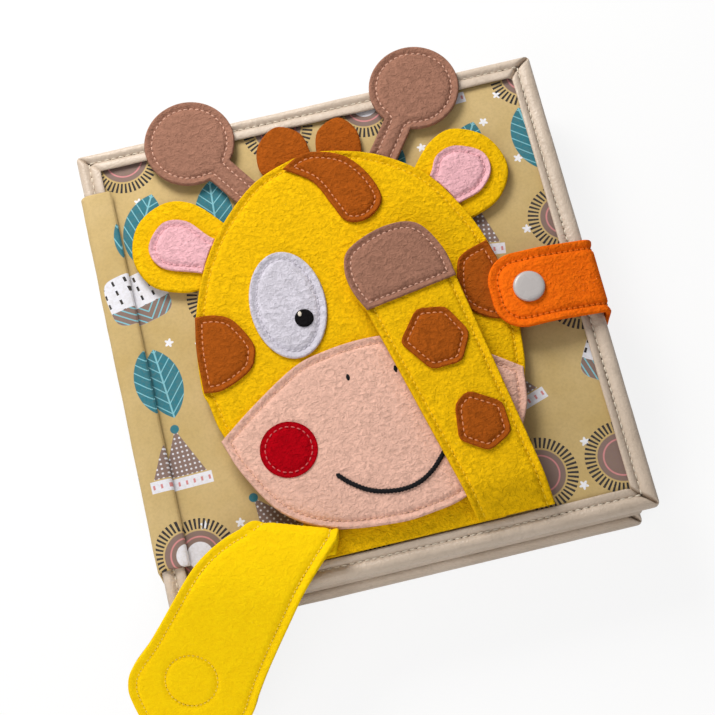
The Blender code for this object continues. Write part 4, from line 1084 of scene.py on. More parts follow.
def make_smile():
    """A twisted cord, couched in a curve over the muzzle."""
    last = len(SMILE_SHARES) - 1
    line = smooth_line([on_cover(share) for share in SMILE_SHARES], (0, last), SMILE_STEPS)
    line = line[:SMILE_STEPS * last + 1]
    at, stops = along_line(line, False, 0.0003)
    ends = np.minimum(stops, stops[-1] - stops)
    level = MUZZLE_TOP + SMILE_LEVEL - SMILE_END_DROP * np.exp(-(ends / SMILE_END_REACH) ** 2)
    mesh = Mesh()
    path = np.column_stack([at(stops), level])
    add_tube(mesh, path, SMILE_RADIUS, SMILE_SIDES, SMILE_TWIST, SMILE_STRANDS)
    item = mesh.make("smile_cord", [materials["black_cord"]])
    settle(item, ["smile"], "black_cord")


# The leg folded up over the eye


def edge_at(edge_shares, y):
    start, end = (on_cover(share) for share in edge_shares)
    return start + (end - start) * (y - start[1]) / (end[1] - start[1])


def rise(y):
    t = min(max((y - SEAM_Y) / RAMP_LENGTH, 0), 1)
    return (LEG_LEVEL - HEAD_LEVEL) * (1 - t * t * (3 - 2 * t))


def carry_leg_right(x, y, height):
    """The leg comes down to the cover and is pressed thin where its end is sewn down."""
    pressed = math.exp(-((y - SEAM_Y) / LEG_PRESS_REACH) ** 2)
    height = LEG_LEVEL + (height - LEG_LEVEL) * (1 - LEG_PRESS * pressed)
    return x, y, height - rise(y) - LEG_PRESS_DROP * pressed


def make_leg_right():
    seam_inner = edge_at(LEG_RIGHT_INNER_SHARES, SEAM_Y)
    seam_outer = edge_at(LEG_RIGHT_OUTER_SHARES, SEAM_Y)
    hoof_inner = on_cover(LEG_RIGHT_INNER_SHARES[1])
    hoof_outer = on_cover(LEG_RIGHT_OUTER_SHARES[1])
    end = [on_cover(share) for share in LEG_RIGHT_END_SHARES]
    edges = [seam_inner, hoof_inner, *end, hoof_outer, seam_outer]
    whole = counter_clockwise(smooth_line(edges, (0, 1, 8, 9)))
    tip = counter_clockwise(smooth_line([hoof_inner, *end, hoof_outer], (0, 7)))
    bend = [(LEG_RIGHT_HINGE_X, SEAM_Y + reach, LEG_RIGHT_HINGE_Z) for reach in LEG_RIGHT_BEND]
    blend = ("front_cover", "leg_right", *bend)
    start = np.linalg.norm(whole - seam_outer, axis=1).argmin()
    rim = np.roll(whole, -start, axis=0)
    if np.linalg.norm(rim[1] - seam_inner) < np.linalg.norm(rim[-1] - seam_inner):
        rim = np.roll(rim, -1, axis=0)
    seam = Seam(inset(rim, LEG_RIGHT_INSET, False), False, border=LEG_RIGHT_INSET)
    mesh = Mesh()
    magnet = on_cover(MAGNET_RIGHT_SHARE)
    add_slab(mesh, whole, LEG_LEVEL, LEG_LEVEL + LEG_BACK_FELT, [seam], (rim, False), under=True, lip=0,
             pockets=[(magnet, MAGNET_RADIUS + POCKET_ROOM, 0.0012)])
    add_slab(mesh, whole, LEG_LEVEL + LEG_BACK_FELT + PLY_GAP, LEG_TOP, [seam], (rim, False), step=0.0016)
    add_stitches(mesh, seam, LEG_TOP + FIELD_RISE - GROOVE_DEPTH)
    add_stitches(mesh, seam, LEG_LEVEL + GROOVE_DEPTH, side=-1)
    item = mesh.make("leg_right_felt", sewn["yellow_felt"], carry_leg_right)
    nodes = ["leg_right_base", "leg_right_back_layer", "leg_right_front_layer"]
    settle(item, nodes, "yellow_felt", blend=blend)
    felt_piece("leg_right_hoof", tip, "brown_felt", 0.0027)
    for node, shares in (("leg_right_upper_spot", SPOT_RIGHT_UPPER_SHARES),
                         ("leg_right_lower_spot", SPOT_RIGHT_LOWER_SHARES)):
        felt_piece(node, softened([on_cover(share) for share in shares], 0.0024), "rust_felt", 0.0023)


# The leg folded down over the lower edge


def fold_path(run):
    """Distance out, level and heading of the folded leg's middle at a run from the fold."""
    base = HEAD_LEVEL + LEG_THICKNESS / 2
    top = base + 2 * FOLD_RADIUS
    if run < -FOLD_LOOP:
        return -(run + FOLD_LOOP), base, math.pi
    if run < 0:
        heading = -run / FOLD_RADIUS
        level = base + FOLD_RADIUS + FOLD_RADIUS * math.cos(heading)
        return -FOLD_RADIUS * math.sin(heading), level, heading
    if run < FOLD_LEVEL_RUN:
        return run, top, 0
    radius = FOLD_BEND_RUN / FOLD_BEND
    turned = min((run - FOLD_LEVEL_RUN) / radius, FOLD_BEND)
    straight = max(run - FOLD_LEVEL_RUN - FOLD_BEND_RUN, 0)
    out = FOLD_LEVEL_RUN + radius * math.sin(turned) + straight * math.cos(turned)
    return out, top - radius * (1 - math.cos(turned)) - straight * math.sin(turned), -turned


def carry_leg_left(run, place_along, height):
    """Bent place of a point of the folded leg; height is measured towards its back."""
    out, level, heading = fold_path(run)
    out -= height * math.sin(heading)
    along = np.array((math.cos(FOLD_ANGLE), math.sin(FOLD_ANGLE)))
    outward = np.array((along[1], -along[0]))
    x, y = on_cover(FOLD_MIDDLE_SHARE) + outward * out + along * place_along
    return x, y, level + height * math.cos(heading)


def soft_seam(line):
    """The shallow, close seam along an open edge of the folded leg."""
    return Seam(inset(line, LEG_LEFT_INSET, False), False, CLOSE_PITCH, LEG_LEFT_INSET, SOFT_GROOVE)


def make_leg_left():
    half = LEG_THICKNESS / 2
    back = (half - LEG_BACK_FELT, half)
    front = (-half, half - LEG_BACK_FELT - PLY_GAP)
    # The folded leg wears the lighter yellow, which is in part painted light
    yellow = sewn["lit_yellow_back"]
    far_seam = of_width(LEG_LEFT_SEAM_FAR_SHARE) - (FOLD_LOOP, 0)
    near_seam = of_width(LEG_LEFT_SEAM_NEAR_SHARE) - (FOLD_LOOP, 0)
    far_start = of_width(LEG_LEFT_FAR_SHARES[0])
    near_start = of_width(LEG_LEFT_NEAR_SHARES[0])
    far_turn = far_start + of_width((0, 0.039)) - (FOLD_LOOP, 0)
    near_turn = near_start - (FOLD_LOOP, 0)

    far_bend = of_width(LEG_LEFT_BEND_FAR_SHARE)
    edges = [far_start, near_start, near_turn, near_seam, far_seam, far_turn, far_bend]
    base = smooth_line(edges, (0, 1, 2, 3, 4))
    rim = (np.roll(base, -1, axis=0), False)
    near_line = np.array([near_start, near_turn, near_seam])
    far_line = base[np.linalg.norm(base - far_seam, axis=1).argmin():]
    far_line = np.vstack([far_line, far_start])
    base_seams = [soft_seam(line) for line in (near_line, far_line)]
    mesh = Mesh()
    for low, high in (back, front):
        add_slab(mesh, base, low, high, base_seams if low == back[0] else (), rim, step=0.0014)
    for seam in base_seams:
        add_stitches(mesh, seam, half + FIELD_RISE - SOFT_GROOVE)
    item = mesh.make("leg_left_base_felt", yellow, carry_leg_left)
    inward = Vector((-math.sin(FOLD_ANGLE), math.cos(FOLD_ANGLE), 0))
    lift = inward * math.sin(FOLD_LEAN) + Vector((0, 0, math.cos(FOLD_LEAN)))
    hinge = Vector(FOLD_HINGE)
    settle(item, ["leg_left_base"], "yellow_felt",
           blend=("front_cover", "leg_left_upper", hinge, hinge + lift * FOLD_LIFT_REACH))

    end = [of_width(share) for share in LEG_LEFT_END_SHARES]
    far = [of_width(share) for share in LEG_LEFT_FAR_SHARES[1:4]]
    near = [of_width(share) for share in LEG_LEFT_NEAR_SHARES[1:]]
    far_hoof = of_width(HOOF_LEFT_FAR_SHARE)
    near_hoof = of_width(HOOF_LEFT_NEAR_SHARE)
    whole = smooth_line([far_start, *far, far_hoof, *end, near_hoof, *reversed(near), near_start], (0, 19))
    tip = smooth_line([far_hoof, *end, near_hoof], (0, 11))
    rim = (whole, False)
    outer = soft_seam(whole)
    magnet = of_width(MAGNET_LEFT_SHARE)
    circle = ellipse(magnet, (MAGNET_RING_RADIUS, MAGNET_RING_RADIUS))
    ring = Seam(circle, True, CLOSE_PITCH, 0, SOFT_GROOVE)
    mesh = Mesh()
    pocket = [(magnet, MAGNET_RADIUS + POCKET_ROOM, -0.0011)]
    add_slab(mesh, whole, *back, [outer, ring], rim=rim, pockets=pocket)
    add_slab(mesh, whole, *front, [outer], rim=rim, under=True, lip=0)
    add_stitches(mesh, outer, half + FIELD_RISE - SOFT_GROOVE)
    add_stitches(mesh, ring, half + FIELD_RISE - SOFT_GROOVE)
    item = mesh.make("leg_left_felt", yellow, carry_leg_left)
    bend = [Vector(carry_leg_left(run, 0, 0)) for run in (FOLD_LEVEL_RUN, FOLD_LEVEL_RUN + FOLD_BEND_RUN)]
    blend = ("leg_left_upper", "leg_left", *bend)
    nodes = ["leg_left_bend", "leg_left_back_layer", "leg_left_front_layer"]
    settle(item, nodes, "yellow_felt", blend=blend)

    patch_high = -half - PLY_GAP
    patch_low = patch_high - PATCH_FELT
    radius = SPOT_LEFT_RADIUS_SHARE * COVER_WIDTH
    patches = [("leg_left_hoof", tip, "brown_felt")]
    patches += [(node, ellipse(of_width(share), (radius, radius), 6), "rust_felt")
                for node, share in (("leg_left_upper_spot", SPOT_LEFT_UPPER_SHARE),
                                    ("leg_left_lower_spot", SPOT_LEFT_LOWER_SHARE))]
    for node, outline, finish in patches:
        outline = counter_clockwise(outline)
        mesh = Mesh()
        seam = Seam(inset(outline, PATCH_INSET) * (1, -1), border=PATCH_INSET)
        add_slab(mesh, outline * (1, -1), -patch_high, -patch_low, [seam])
        add_stitches(mesh, seam, -patch_low + FIELD_RISE - GROOVE_DEPTH)
        item = mesh.make(node + "_felt", sewn[finish],
                         lambda run, place_along, height: carry_leg_left(run, -place_along, -height))
        settle(item, [node], finish, blend=blend)


# The strap and its press stud

STRAP_THICKNESS = 0.0020
STRAP_WIDTH = 0.0325
STRAP_MIDDLE_Y = -0.0038
STRAP_TIP_ROUND = 0.0125
STRAP_BEND_RADIUS = 0.0035
STRAP_LEVELLING_RADIUS = 0.015
STRAP_LINE_X = 0.1016
STRAP_START_X = 0.0963
STRAP_FOOT_LEVEL = 0.0042
STRAP_CORNER_LEVEL = 0.0353
STRAP_FLAP_LEVEL = 0.0427
STRAP_LEVEL_X = 0.0783


def slope_length(climb):
    slope_low = STRAP_CORNER_LEVEL + STRAP_BEND_RADIUS * math.cos(climb)
    arc_rise = STRAP_LEVELLING_RADIUS * (1 - math.cos(climb))
    return (STRAP_FLAP_LEVEL - slope_low - arc_rise) / math.sin(climb)


def level_x(climb):
    """Where the strap is level again if it climbs from the fore edge at an angle."""
    return (STRAP_LINE_X - STRAP_BEND_RADIUS * (1 - math.sin(climb))
            - slope_length(climb) * math.cos(climb) - STRAP_LEVELLING_RADIUS * math.sin(climb))


def strap_climb():
    low = math.radians(2)
    high = math.radians(60)
    for _ in range(40):
        middle = (low + high) / 2
        if level_x(middle) < STRAP_LEVEL_X:
            low = middle
        else:
            high = middle
    return low


STRAP_CLIMB = strap_climb()


def flap_path(run):
    """X, level and heading of the flap's middle at a run from the top of the strap's side."""
    turn = STRAP_BEND_RADIUS * (math.pi / 2 - STRAP_CLIMB)
    slope = slope_length(STRAP_CLIMB)
    angle = min(max(run, 0) / STRAP_BEND_RADIUS, turn / STRAP_BEND_RADIUS)
    x = STRAP_LINE_X - STRAP_BEND_RADIUS * (1 - math.cos(angle))
    z = STRAP_CORNER_LEVEL + STRAP_BEND_RADIUS * math.sin(angle) + min(run, 0)
    heading = math.pi / 2 + angle
    ahead = min(max(run - turn, 0), slope)
    x += ahead * math.cos(heading)
    z += ahead * math.sin(heading)
    turned = min(max(run - turn - slope, 0) / STRAP_LEVELLING_RADIUS, STRAP_CLIMB)
    x -= STRAP_LEVELLING_RADIUS * (math.sin(STRAP_CLIMB) - math.sin(STRAP_CLIMB - turned))
    z += STRAP_LEVELLING_RADIUS * (math.cos(STRAP_CLIMB - turned) - math.cos(STRAP_CLIMB))
    x -= max(run - turn - slope - STRAP_LEVELLING_RADIUS * STRAP_CLIMB, 0)
    return x, z, heading + turned


def side_path(run):
    """X, level and heading of the strap's side at a run from its sewn foot."""
    foot = STRAP_LINE_X - STRAP_BEND_RADIUS - STRAP_START_X
    if run < foot:
        return STRAP_START_X + run, STRAP_FOOT_LEVEL, 0
    angle = min((run - foot) / STRAP_BEND_RADIUS, math.pi / 2)
    x = STRAP_START_X + foot + STRAP_BEND_RADIUS * math.sin(angle)
    z = STRAP_FOOT_LEVEL + STRAP_BEND_RADIUS * (1 - math.cos(angle))
    return x, z + max(run - foot - STRAP_BEND_RADIUS * math.pi / 2, 0), angle


def strap_carry(path):
    def carry(run, y, height):
        x, z, heading = path(run)
        return x + height * math.sin(heading), y, z - height * math.cos(heading)
    return carry


def make_strap():
    """Orange felt from the back cover's fore edge to the press stud; height is to its outside."""
    half = STRAP_WIDTH / 2
    low = STRAP_MIDDLE_Y - half
    high = STRAP_MIDDLE_Y + half
    foot = STRAP_LINE_X - STRAP_BEND_RADIUS - STRAP_START_X
    side_end = (foot + STRAP_BEND_RADIUS * math.pi / 2 + STRAP_CORNER_LEVEL - STRAP_FOOT_LEVEL
                - STRAP_BEND_RADIUS)
    thick = STRAP_THICKNESS / 2
    orange = sewn["orange_felt"]

    outline = np.array([(0, low), (side_end, low), (side_end, high), (0, high)])
    edges = (outline[[1, 0, 3, 2]], False)
    seams = [Seam(np.array([(0.0005, y), (side_end, y)]), False, border=STRAP_INSET)
             for y in (low + STRAP_INSET, high - STRAP_INSET)]
    mesh = Mesh()
    add_slab(mesh, outline, -thick, thick, seams, edges, 2, True, step=0.0014, puff=0)
    for seam in seams:
        add_stitches(mesh, seam, thick - GROOVE_DEPTH)
        add_stitches(mesh, seam, GROOVE_DEPTH - thick, side=-1)
    item = mesh.make("strap_side_felt", orange, strap_carry(side_path))
    blend = ("root", "strap_side", (STRAP_START_X, STRAP_MIDDLE_Y, 0.0035),
             (STRAP_LINE_X, STRAP_MIDDLE_Y, 0.0095))
    settle(item, ["strap_side"], "orange_felt", blend=blend)

    level_run = (STRAP_BEND_RADIUS * (math.pi / 2 - STRAP_CLIMB) + slope_length(STRAP_CLIMB)
                 + STRAP_LEVELLING_RADIUS * STRAP_CLIMB)
    tip = level_run + STRAP_LEVEL_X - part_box("strap_flap")[0].x
    turns = [math.radians(step) for step in range(90, -1, -6)]
    rounded = [(tip - STRAP_TIP_ROUND * (1 - math.cos(turn)),
                high - STRAP_TIP_ROUND * (1 - math.sin(turn))) for turn in turns]
    mirrored = [(x, low + high - y) for x, y in rounded]
    outline = np.array([(0, high), (0, low), *mirrored, *reversed(rounded)])
    rim_line = outline[[*range(1, len(outline)), 0]]
    seam = Seam(inset(rim_line, STRAP_INSET, False), False, border=STRAP_INSET)
    mesh = Mesh()
    add_slab(mesh, outline, -thick, thick, [seam], (rim_line, False), 2, True, step=0.0014, puff=0)
    add_stitches(mesh, seam, thick - GROOVE_DEPTH)
    add_stitches(mesh, seam, GROOVE_DEPTH - thick, side=-1)
    item = mesh.make("strap_flap_felt", orange, strap_carry(flap_path))
    blend = ("strap_side", "strap_flap", (STRAP_LINE_X, STRAP_MIDDLE_Y, STRAP_CORNER_LEVEL),
             (STRAP_LINE_X - 0.004, STRAP_MIDDLE_Y, STRAP_CORNER_LEVEL + 0.004))
    settle(item, ["strap_flap"], "orange_felt", blend=blend)


def make_turned(node, profile):
    """A part of the press stud, turned from a profile of radius and height shares."""
    low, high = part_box(node)
    centre = ((low.x + high.x) / 2, (low.y + high.y) / 2)
    radius = (high.x - low.x) / 2
    depth = high.z - low.z
    turns = np.linspace(0, math.tau, 64, endpoint=False)
    mesh = Mesh()
    add_rows(mesh, [turned_row(centre, radius * reach, low.z + depth * level, turns)
                    for reach, level in profile])
    item = mesh.make(node + "_moulded", [materials["snap_plastic"]])
    settle(item, [node], "snap_plastic")


CAP_PROFILE = ((0.93, 0.0), (0.99, 0.10), (1.0, 0.28), (0.99, 0.50), (0.955, 0.70), (0.90, 0.84),
               (0.82, 0.93), (0.70, 0.975), (0.45, 0.995), (0.2, 1.0), (0.02, 1.0))
SOCKET_PROFILE = ((0.02, 0.92), (0.30, 0.92), (0.42, 0.88), (0.44, 0.05), (0.48, 0.0), (0.62, 0.0),
                  (0.68, 0.12), (0.72, 0.45), (0.93, 0.55), (0.99, 0.66), (1.0, 0.85), (0.97, 1.0),
                  (0.02, 1.0))
STUD_PROFILE = ((0.02, 0.0), (0.96, 0.0), (1.0, 0.10), (0.99, 0.28), (0.93, 0.40), (0.60, 0.46),
                (0.42, 0.55), (0.36, 0.66), (0.38, 0.82), (0.36, 0.94), (0.28, 1.0), (0.02, 1.0))


def make_snap():
    make_turned("snap_cap", CAP_PROFILE)
    make_turned("snap_socket", SOCKET_PROFILE)
    make_turned("snap_stud", STUD_PROFILE)
    for node in ("leg_right_magnet", "leg_left_magnet"):
        frame["nodes"][node].data.materials.clear()
        frame["nodes"][node].data.materials.append(materials["steel"])


# Leaves

SIDE_SEAMS = {"top": 0.0042, "right": 0.0064, "bottom": 0.0054, "left": 0.0050}
SIDE_WIDTHS = {"top": 0.0088, "right": 0.0100, "bottom": 0.0090, "left": 0.0095}
BINDING_STITCH = 0.0031
BINDING_SEAM_DEPTH = 0.00135
CORNER_ROUND = 0.0016
# Half of the binding's section: share out to the seam, share on to the lip, depth below the face
BINDING_SECTION = ((0.00, 0, 0.00425), (0.004, 0, 0.0032), (0.02, 0, 0.0022), (0.06, 0, 0.0014),
                   (0.13, 0, 0.0008), (0.23, 0, 0.00036), (0.36, 0, 0.00010), (0.50, 0, 0.0),
                   (0.64, 0, 0.00010), (0.78, 0, 0.00042), (0.90, 0, 0.00092),
                   (1.00, 0, BINDING_SEAM_DEPTH),
                   (1, 0.08, 0.00105), (1, 0.20, 0.00055), (1, 0.40, 0.00022), (1, 0.64, 0.00008),
                   (1, 0.84, 0.00010), (1, 0.95, 0.00034), (1, 1.00, 0.00075), (1, 0.97, 0.00115),
                   (1, 0.50, 0.00150), (0.75, 0, 0.00190))
MITRE_DEPTHS = {"top right": 0.0030, "top left": 0.0012, "bottom left": 0.0012, "bottom right": 0.0030}
MITRE_REACH = 0.0010
PLY_STEP = 0.00032
PLY_REACH = 0.009
PLY_EDGE = 0.0003
NEEDLE_REACH = 0.0006
SEAM_REACH_SHARE = 0.16
# How deep each crease of the leather is, and the scale of the noise behind the last three
BINDING_PULL = 0.00042
BINDING_SCALLOP = 0.00022
BINDING_SWELL = 0.00016
BINDING_RIPPLE = 0.00009
BINDING_SWAY = 0.00028
SWELL_SCALE = 65
RIPPLE_SCALE = 310
SWAY_SCALE = 48
CREASED_DEPTH = 0.004
BINDING_PROUD = 0.00025
REBATE_LEVEL = 0.0017
REBATE_X = -0.0878
REBATE_Y = 0.0833
PAGE_RECESS = 0.0020


def rounded_corner(x, y, box):
    """Draws points near the box's corners in, so that the corners turn on a small radius."""
    left, right, bottom, top = box
    side_x, reach_x = (1, x - (right - CORNER_ROUND)) if x > 0 else (-1, (left + CORNER_ROUND) - x)
    side_y, reach_y = (1, y - (top - CORNER_ROUND)) if y > 0 else (-1, (bottom + CORNER_ROUND) - y)
    if reach_x <= 0 or reach_y <= 0:
        return x, y
    shrink = max(reach_x, reach_y) / math.hypot(reach_x, reach_y)
    return x - side_x * reach_x * (1 - shrink), y - side_y * reach_y * (1 - shrink)


def side_stations(length, step):
    """Shares along a side, close together near its corners for the mitre."""
    near = [0, 0.0004, 0.0009, 0.0016, 0.0026, 0.004, 0.006, 0.009]
    middle = np.linspace(0.0105, length - 0.0105, round((length - 0.021) / step))
    far = [length - value for value in reversed(near[1:])]
    return [value / length for value in (*near, *middle, *far)]


def make_binding(leaf, step, wave, recess):
    """Imitation leather folded round a leaf's four edges, mitred and top-stitched."""
    node = leaf + "_binding"
    low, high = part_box(node)
    bottom = low.y + recess
    top = high.y - recess
    box = (low.x, high.x, bottom, top)
    corners = ("top right", "top left", "bottom left", "bottom right")
    section = [(*share, 1) for share in BINDING_SECTION]
    section += [(*share, -1) for share in reversed(BINDING_SECTION[1:])]

    def corner_point(corner, seam_share, lip_share):
        side_y, side_x = corner.split()
        depth_x, depth_y = (SIDE_SEAMS[side] * seam_share
                            + (SIDE_WIDTHS[side] - SIDE_SEAMS[side]) * lip_share
                            for side in (side_x, side_y))
        x = high.x - depth_x if side_x == "right" else low.x + depth_x
        y = top - depth_y if side_y == "top" else bottom + depth_y
        return np.array((x, y))

    sides = []
    for index, corner in enumerate(corners):
        span = top - bottom if index % 2 else high.x - low.x
        sides.append((corner, corners[(index + 1) % 4], index % 2 == 1, side_stations(span, step), span))

    def section_row(seam_share, lip_share, depth, face):
        row = []
        travelled = wave
        for corner, following, upright, shares, span in sides:
            start = corner_point(corner, seam_share, lip_share)
            end = corner_point(following, seam_share, lip_share)
            for share in shares:
                x, y = start + (end - start) * share
                before = share * span
                after = span - before
                mitre = MITRE_DEPTHS[corner] * math.exp(-(before / MITRE_REACH) ** 2)
                mitre += MITRE_DEPTHS[following] * math.exp(-(after / MITRE_REACH) ** 2)
                ply = PLY_STEP * math.exp(-before / PLY_REACH) * (before > PLY_EDGE)
                edge = min(1, seam_share * 5)
                phase = before / BINDING_STITCH
                needle = math.exp(-((phase - round(phase)) * BINDING_STITCH / NEEDLE_REACH) ** 2)
                off_seam = ((1 - seam_share) / SEAM_REACH_SHARE) ** 2
                near_seam = math.exp(-off_seam - (lip_share / SEAM_REACH_SHARE) ** 2)
                run = travelled + before
                swelling = noise.noise(Vector((run * SWELL_SCALE, seam_share * 1.5, lip_share * 2 + face)))
                ripple = noise.noise(Vector((run * RIPPLE_SCALE, face, lip_share * 2 + seam_share * 2)))
                sag = depth + (mitre - ply) * edge * (1 - lip_share * 0.5)
                if depth < CREASED_DEPTH:
                    sag += BINDING_PULL * needle * near_seam
                    sag -= BINDING_SWELL * swelling + BINDING_RIPPLE * ripple
                sway = BINDING_SWAY * noise.noise(Vector((run * SWAY_SCALE, 9, face)))
                scallop = BINDING_SCALLOP * (1 - needle) * near_seam * (lip_share == 0)
                x, y = rounded_corner(x, y, box)
                inwards = max(sway, 0) * (1 - lip_share) + sway * lip_share + scallop
                if upright:
                    x += (-1 if x > 0 else 1) * inwards
                else:
                    y += (-1 if y > 0 else 1) * inwards
                z = min(high.z - sag, high.z + BINDING_PROUD) if face > 0 else max(low.z + sag, low.z)
                if leaf == "back_cover" and x < REBATE_X and abs(y) < REBATE_Y:
                    z = max(z, REBATE_LEVEL)
                row.append((x, y, z))
            travelled += span
        return row

    mesh = Mesh()
    add_rows(mesh, [section_row(*shares) for shares in section], looped=True)
    for index, (corner, following, _, _, span) in enumerate(sides):
        line = np.array([corner_point(corner, 1, 0), corner_point(following, 1, 0)])
        rebated = leaf == "back_cover" and index == 1
        add_stitches(mesh, Seam(line, False, BINDING_STITCH), high.z - BINDING_SEAM_DEPTH + 0.0001)
        if not rebated:
            add_stitches(mesh, Seam(line, False, BINDING_STITCH), low.z + BINDING_SEAM_DEPTH - 0.0001, -1)
    item = mesh.make(leaf + "_leather", sewn["binding"])
    return settle(item, [node], "binding")


PAD_INSET = 0.0062
PAD_EDGE = 0.0019
PAD_STEP = 0.0042
PAD_SIZE = (0.1876, 0.1926)
PAD_FRAMES = 20
PAD_SOFTNESS = 0.0030
QUILT_DEPTH = 0.00022
PUCKER_DEPTH = 0.00030
PUCKER_REACH = 0.006
PAD_CLOTH = {"quality": 8, "mass": 0.15, "tension_stiffness": 25, "compression_stiffness": 25,
             "bending_stiffness": 0.4, "use_pressure": True, "uniform_pressure_force": 4.0}


def pad_mesh(width, height, thickness):
    """A flat closed pad of square cells, thinner than it will be when it has filled."""
    across = round(width / PAD_STEP)
    up = round(height / PAD_STEP)
    mesh = Mesh()
    grids = []
    for side in (1, -1):
        points = [((i / across - 0.5) * width, (j / up - 0.5) * height, side * thickness / 2)
                  for j in range(up + 1) for i in range(across + 1)]
        base = mesh.add(points, [])
        grids.append([[base + j * (across + 1) + i for i in range(across + 1)] for j in range(up + 1)])
    faces = []
    slots = []
    for grid, flip in zip(grids, (False, True)):
        for j in range(up):
            for i in range(across):
                quad = (grid[j][i], grid[j][i + 1], grid[j + 1][i + 1], grid[j + 1][i])
                faces.append(quad[::-1] if flip else quad)
                slots.append(1 if flip else 0)
    loops = []
    for grid in grids:
        right_side = [row[-1] for row in grid[:-1]]
        left_side = [row[0] for row in grid[:0:-1]]
        loops.append(grid[0][:-1] + right_side + grid[-1][:0:-1] + left_side)
    walls = ring_faces(loops[1], loops[0])
    mesh.faces = faces + walls
    mesh.slots = slots + [0] * len(walls)
    return mesh, loops[0] + loops[1]


def swell(item, held):
    """Fills a closed pad with air pressure while its rim is held, and keeps the shape."""
    scene = bpy.context.scene
    group = item.vertex_groups.new(name="held")
    group.add(held, 1.0, "REPLACE")
    cloth = item.modifiers.new("swell", "CLOTH")
    cloth.settings.vertex_group_mass = group.name
    for name, value in PAD_CLOTH.items():
        setattr(cloth.settings, name, value)
    cloth.settings.effector_weights.gravity = 0
    cloth.collision_settings.use_self_collision = False
    cloth.point_cache.frame_start = 1
    cloth.point_cache.frame_end = PAD_FRAMES
    for step in range(1, PAD_FRAMES + 1):
        scene.frame_set(step)
    filled_mesh = item.evaluated_get(bpy.context.evaluated_depsgraph_get()).data
    places = np.array([vertex.co for vertex in filled_mesh.vertices])
    item.modifiers.remove(cloth)
    item.vertex_groups.remove(group)
    scene.frame_set(1)
    return places


def make_pad():
    """Top and bottom heights of a swollen pad over the unit square, from one simulation."""
    width, height = PAD_SIZE
    mesh, held = pad_mesh(width, height, 2 * PAD_EDGE)
    rest = np.array(mesh.points)
    item = mesh.make("pad_trial", [])
    places = swell(item, held)
    lift = places[:, 2] - rest[:, 2]
    bpy.data.objects.remove(item, do_unlink=True)
    return mesh, rest / (width, height, 1), lift


def make_filling(leaf, pad, front_cloth, wave):
    """The leaf's padded middle: both panels over their batting, crowned between the bindings."""
    mesh, unit, lift = pad
    low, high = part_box(leaf + "_binding")
    panel_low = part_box(leaf + "_back_panel")[0].z
    panel_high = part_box(leaf + "_front_panel")[1].z
    middle = (low.z + high.z) / 2
    left = low.x + PAD_INSET
    right = high.x - PAD_INSET
    bottom = low.y + PAD_INSET
    top = high.y - PAD_INSET
    room_up = panel_high - middle - PAD_EDGE
    room_down = middle - PAD_EDGE - panel_low
    made = Mesh()
    points = []
    for (u, v, z), raised in zip(unit, lift):
        x = left + (u + 0.5) * (right - left)
        y = bottom + (v + 0.5) * (top - bottom)
        room = room_up if z > 0 else room_down
        share = math.tanh(abs(raised) / PAD_SOFTNESS)
        edge = min(x - left, right - x, y - bottom, top - y)
        near_rim = math.exp(-((edge - PUCKER_REACH) / PUCKER_REACH) ** 2)
        pucker = noise.noise(Vector((x * 140 + wave, y * 140, 0))) * near_rim
        quilt = noise.noise(Vector((x * 38 + wave, y * 38, 5)))
        fall = room * (1 - share) + QUILT_DEPTH * (0.5 + quilt) * share
        fall += PUCKER_DEPTH * (0.5 + pucker) * share
        z = middle + PAD_EDGE + room - fall if z > 0 else middle - PAD_EDGE - room + fall
        if leaf == "back_cover" and x < REBATE_X and abs(y) < REBATE_Y:
            z = max(z, REBATE_LEVEL)
        points.append((x, y, z))
    made.add(points, mesh.faces)
    made.slots = list(mesh.slots)
    item = made.make(leaf + "_filling", [materials[front_cloth], materials["lining"]])
    smooth = item.modifiers.new("smooth", "SUBSURF")
    smooth.levels = 1
    smooth.render_levels = 1
    settle(item, [leaf + "_front_panel", leaf + "_back_panel", leaf + "_batting"], front_cloth)


def make_leaves():
    pad = make_pad()
    leaves = (("front_cover", "print_cloth", 0.0010, 0.0), ("first_page", "lining", 0.0033, PAGE_RECESS),
              ("second_page", "lining", 0.0033, PAGE_RECESS * 1.3), ("back_cover", "lining", 0.0033, 0.0))
    for index, (leaf, cloth, step, recess) in enumerate(leaves):
        make_binding(leaf, step, 3.7 * index, recess)
        make_filling(leaf, pad, cloth, 5.3 * index)


# The spine's strip

STRIP_THICKNESS = 0.0012
STRIP_TURN = 0.0034
STRIP_PRESSED = 0.0035
STRIP_RIPPLE = 0.0004
STRIP_LAP_X = -0.0882
STRIP_WALL_X = -0.1009
STRIP_HALF_LENGTH = 0.083
HINGE_Z = 0.0243


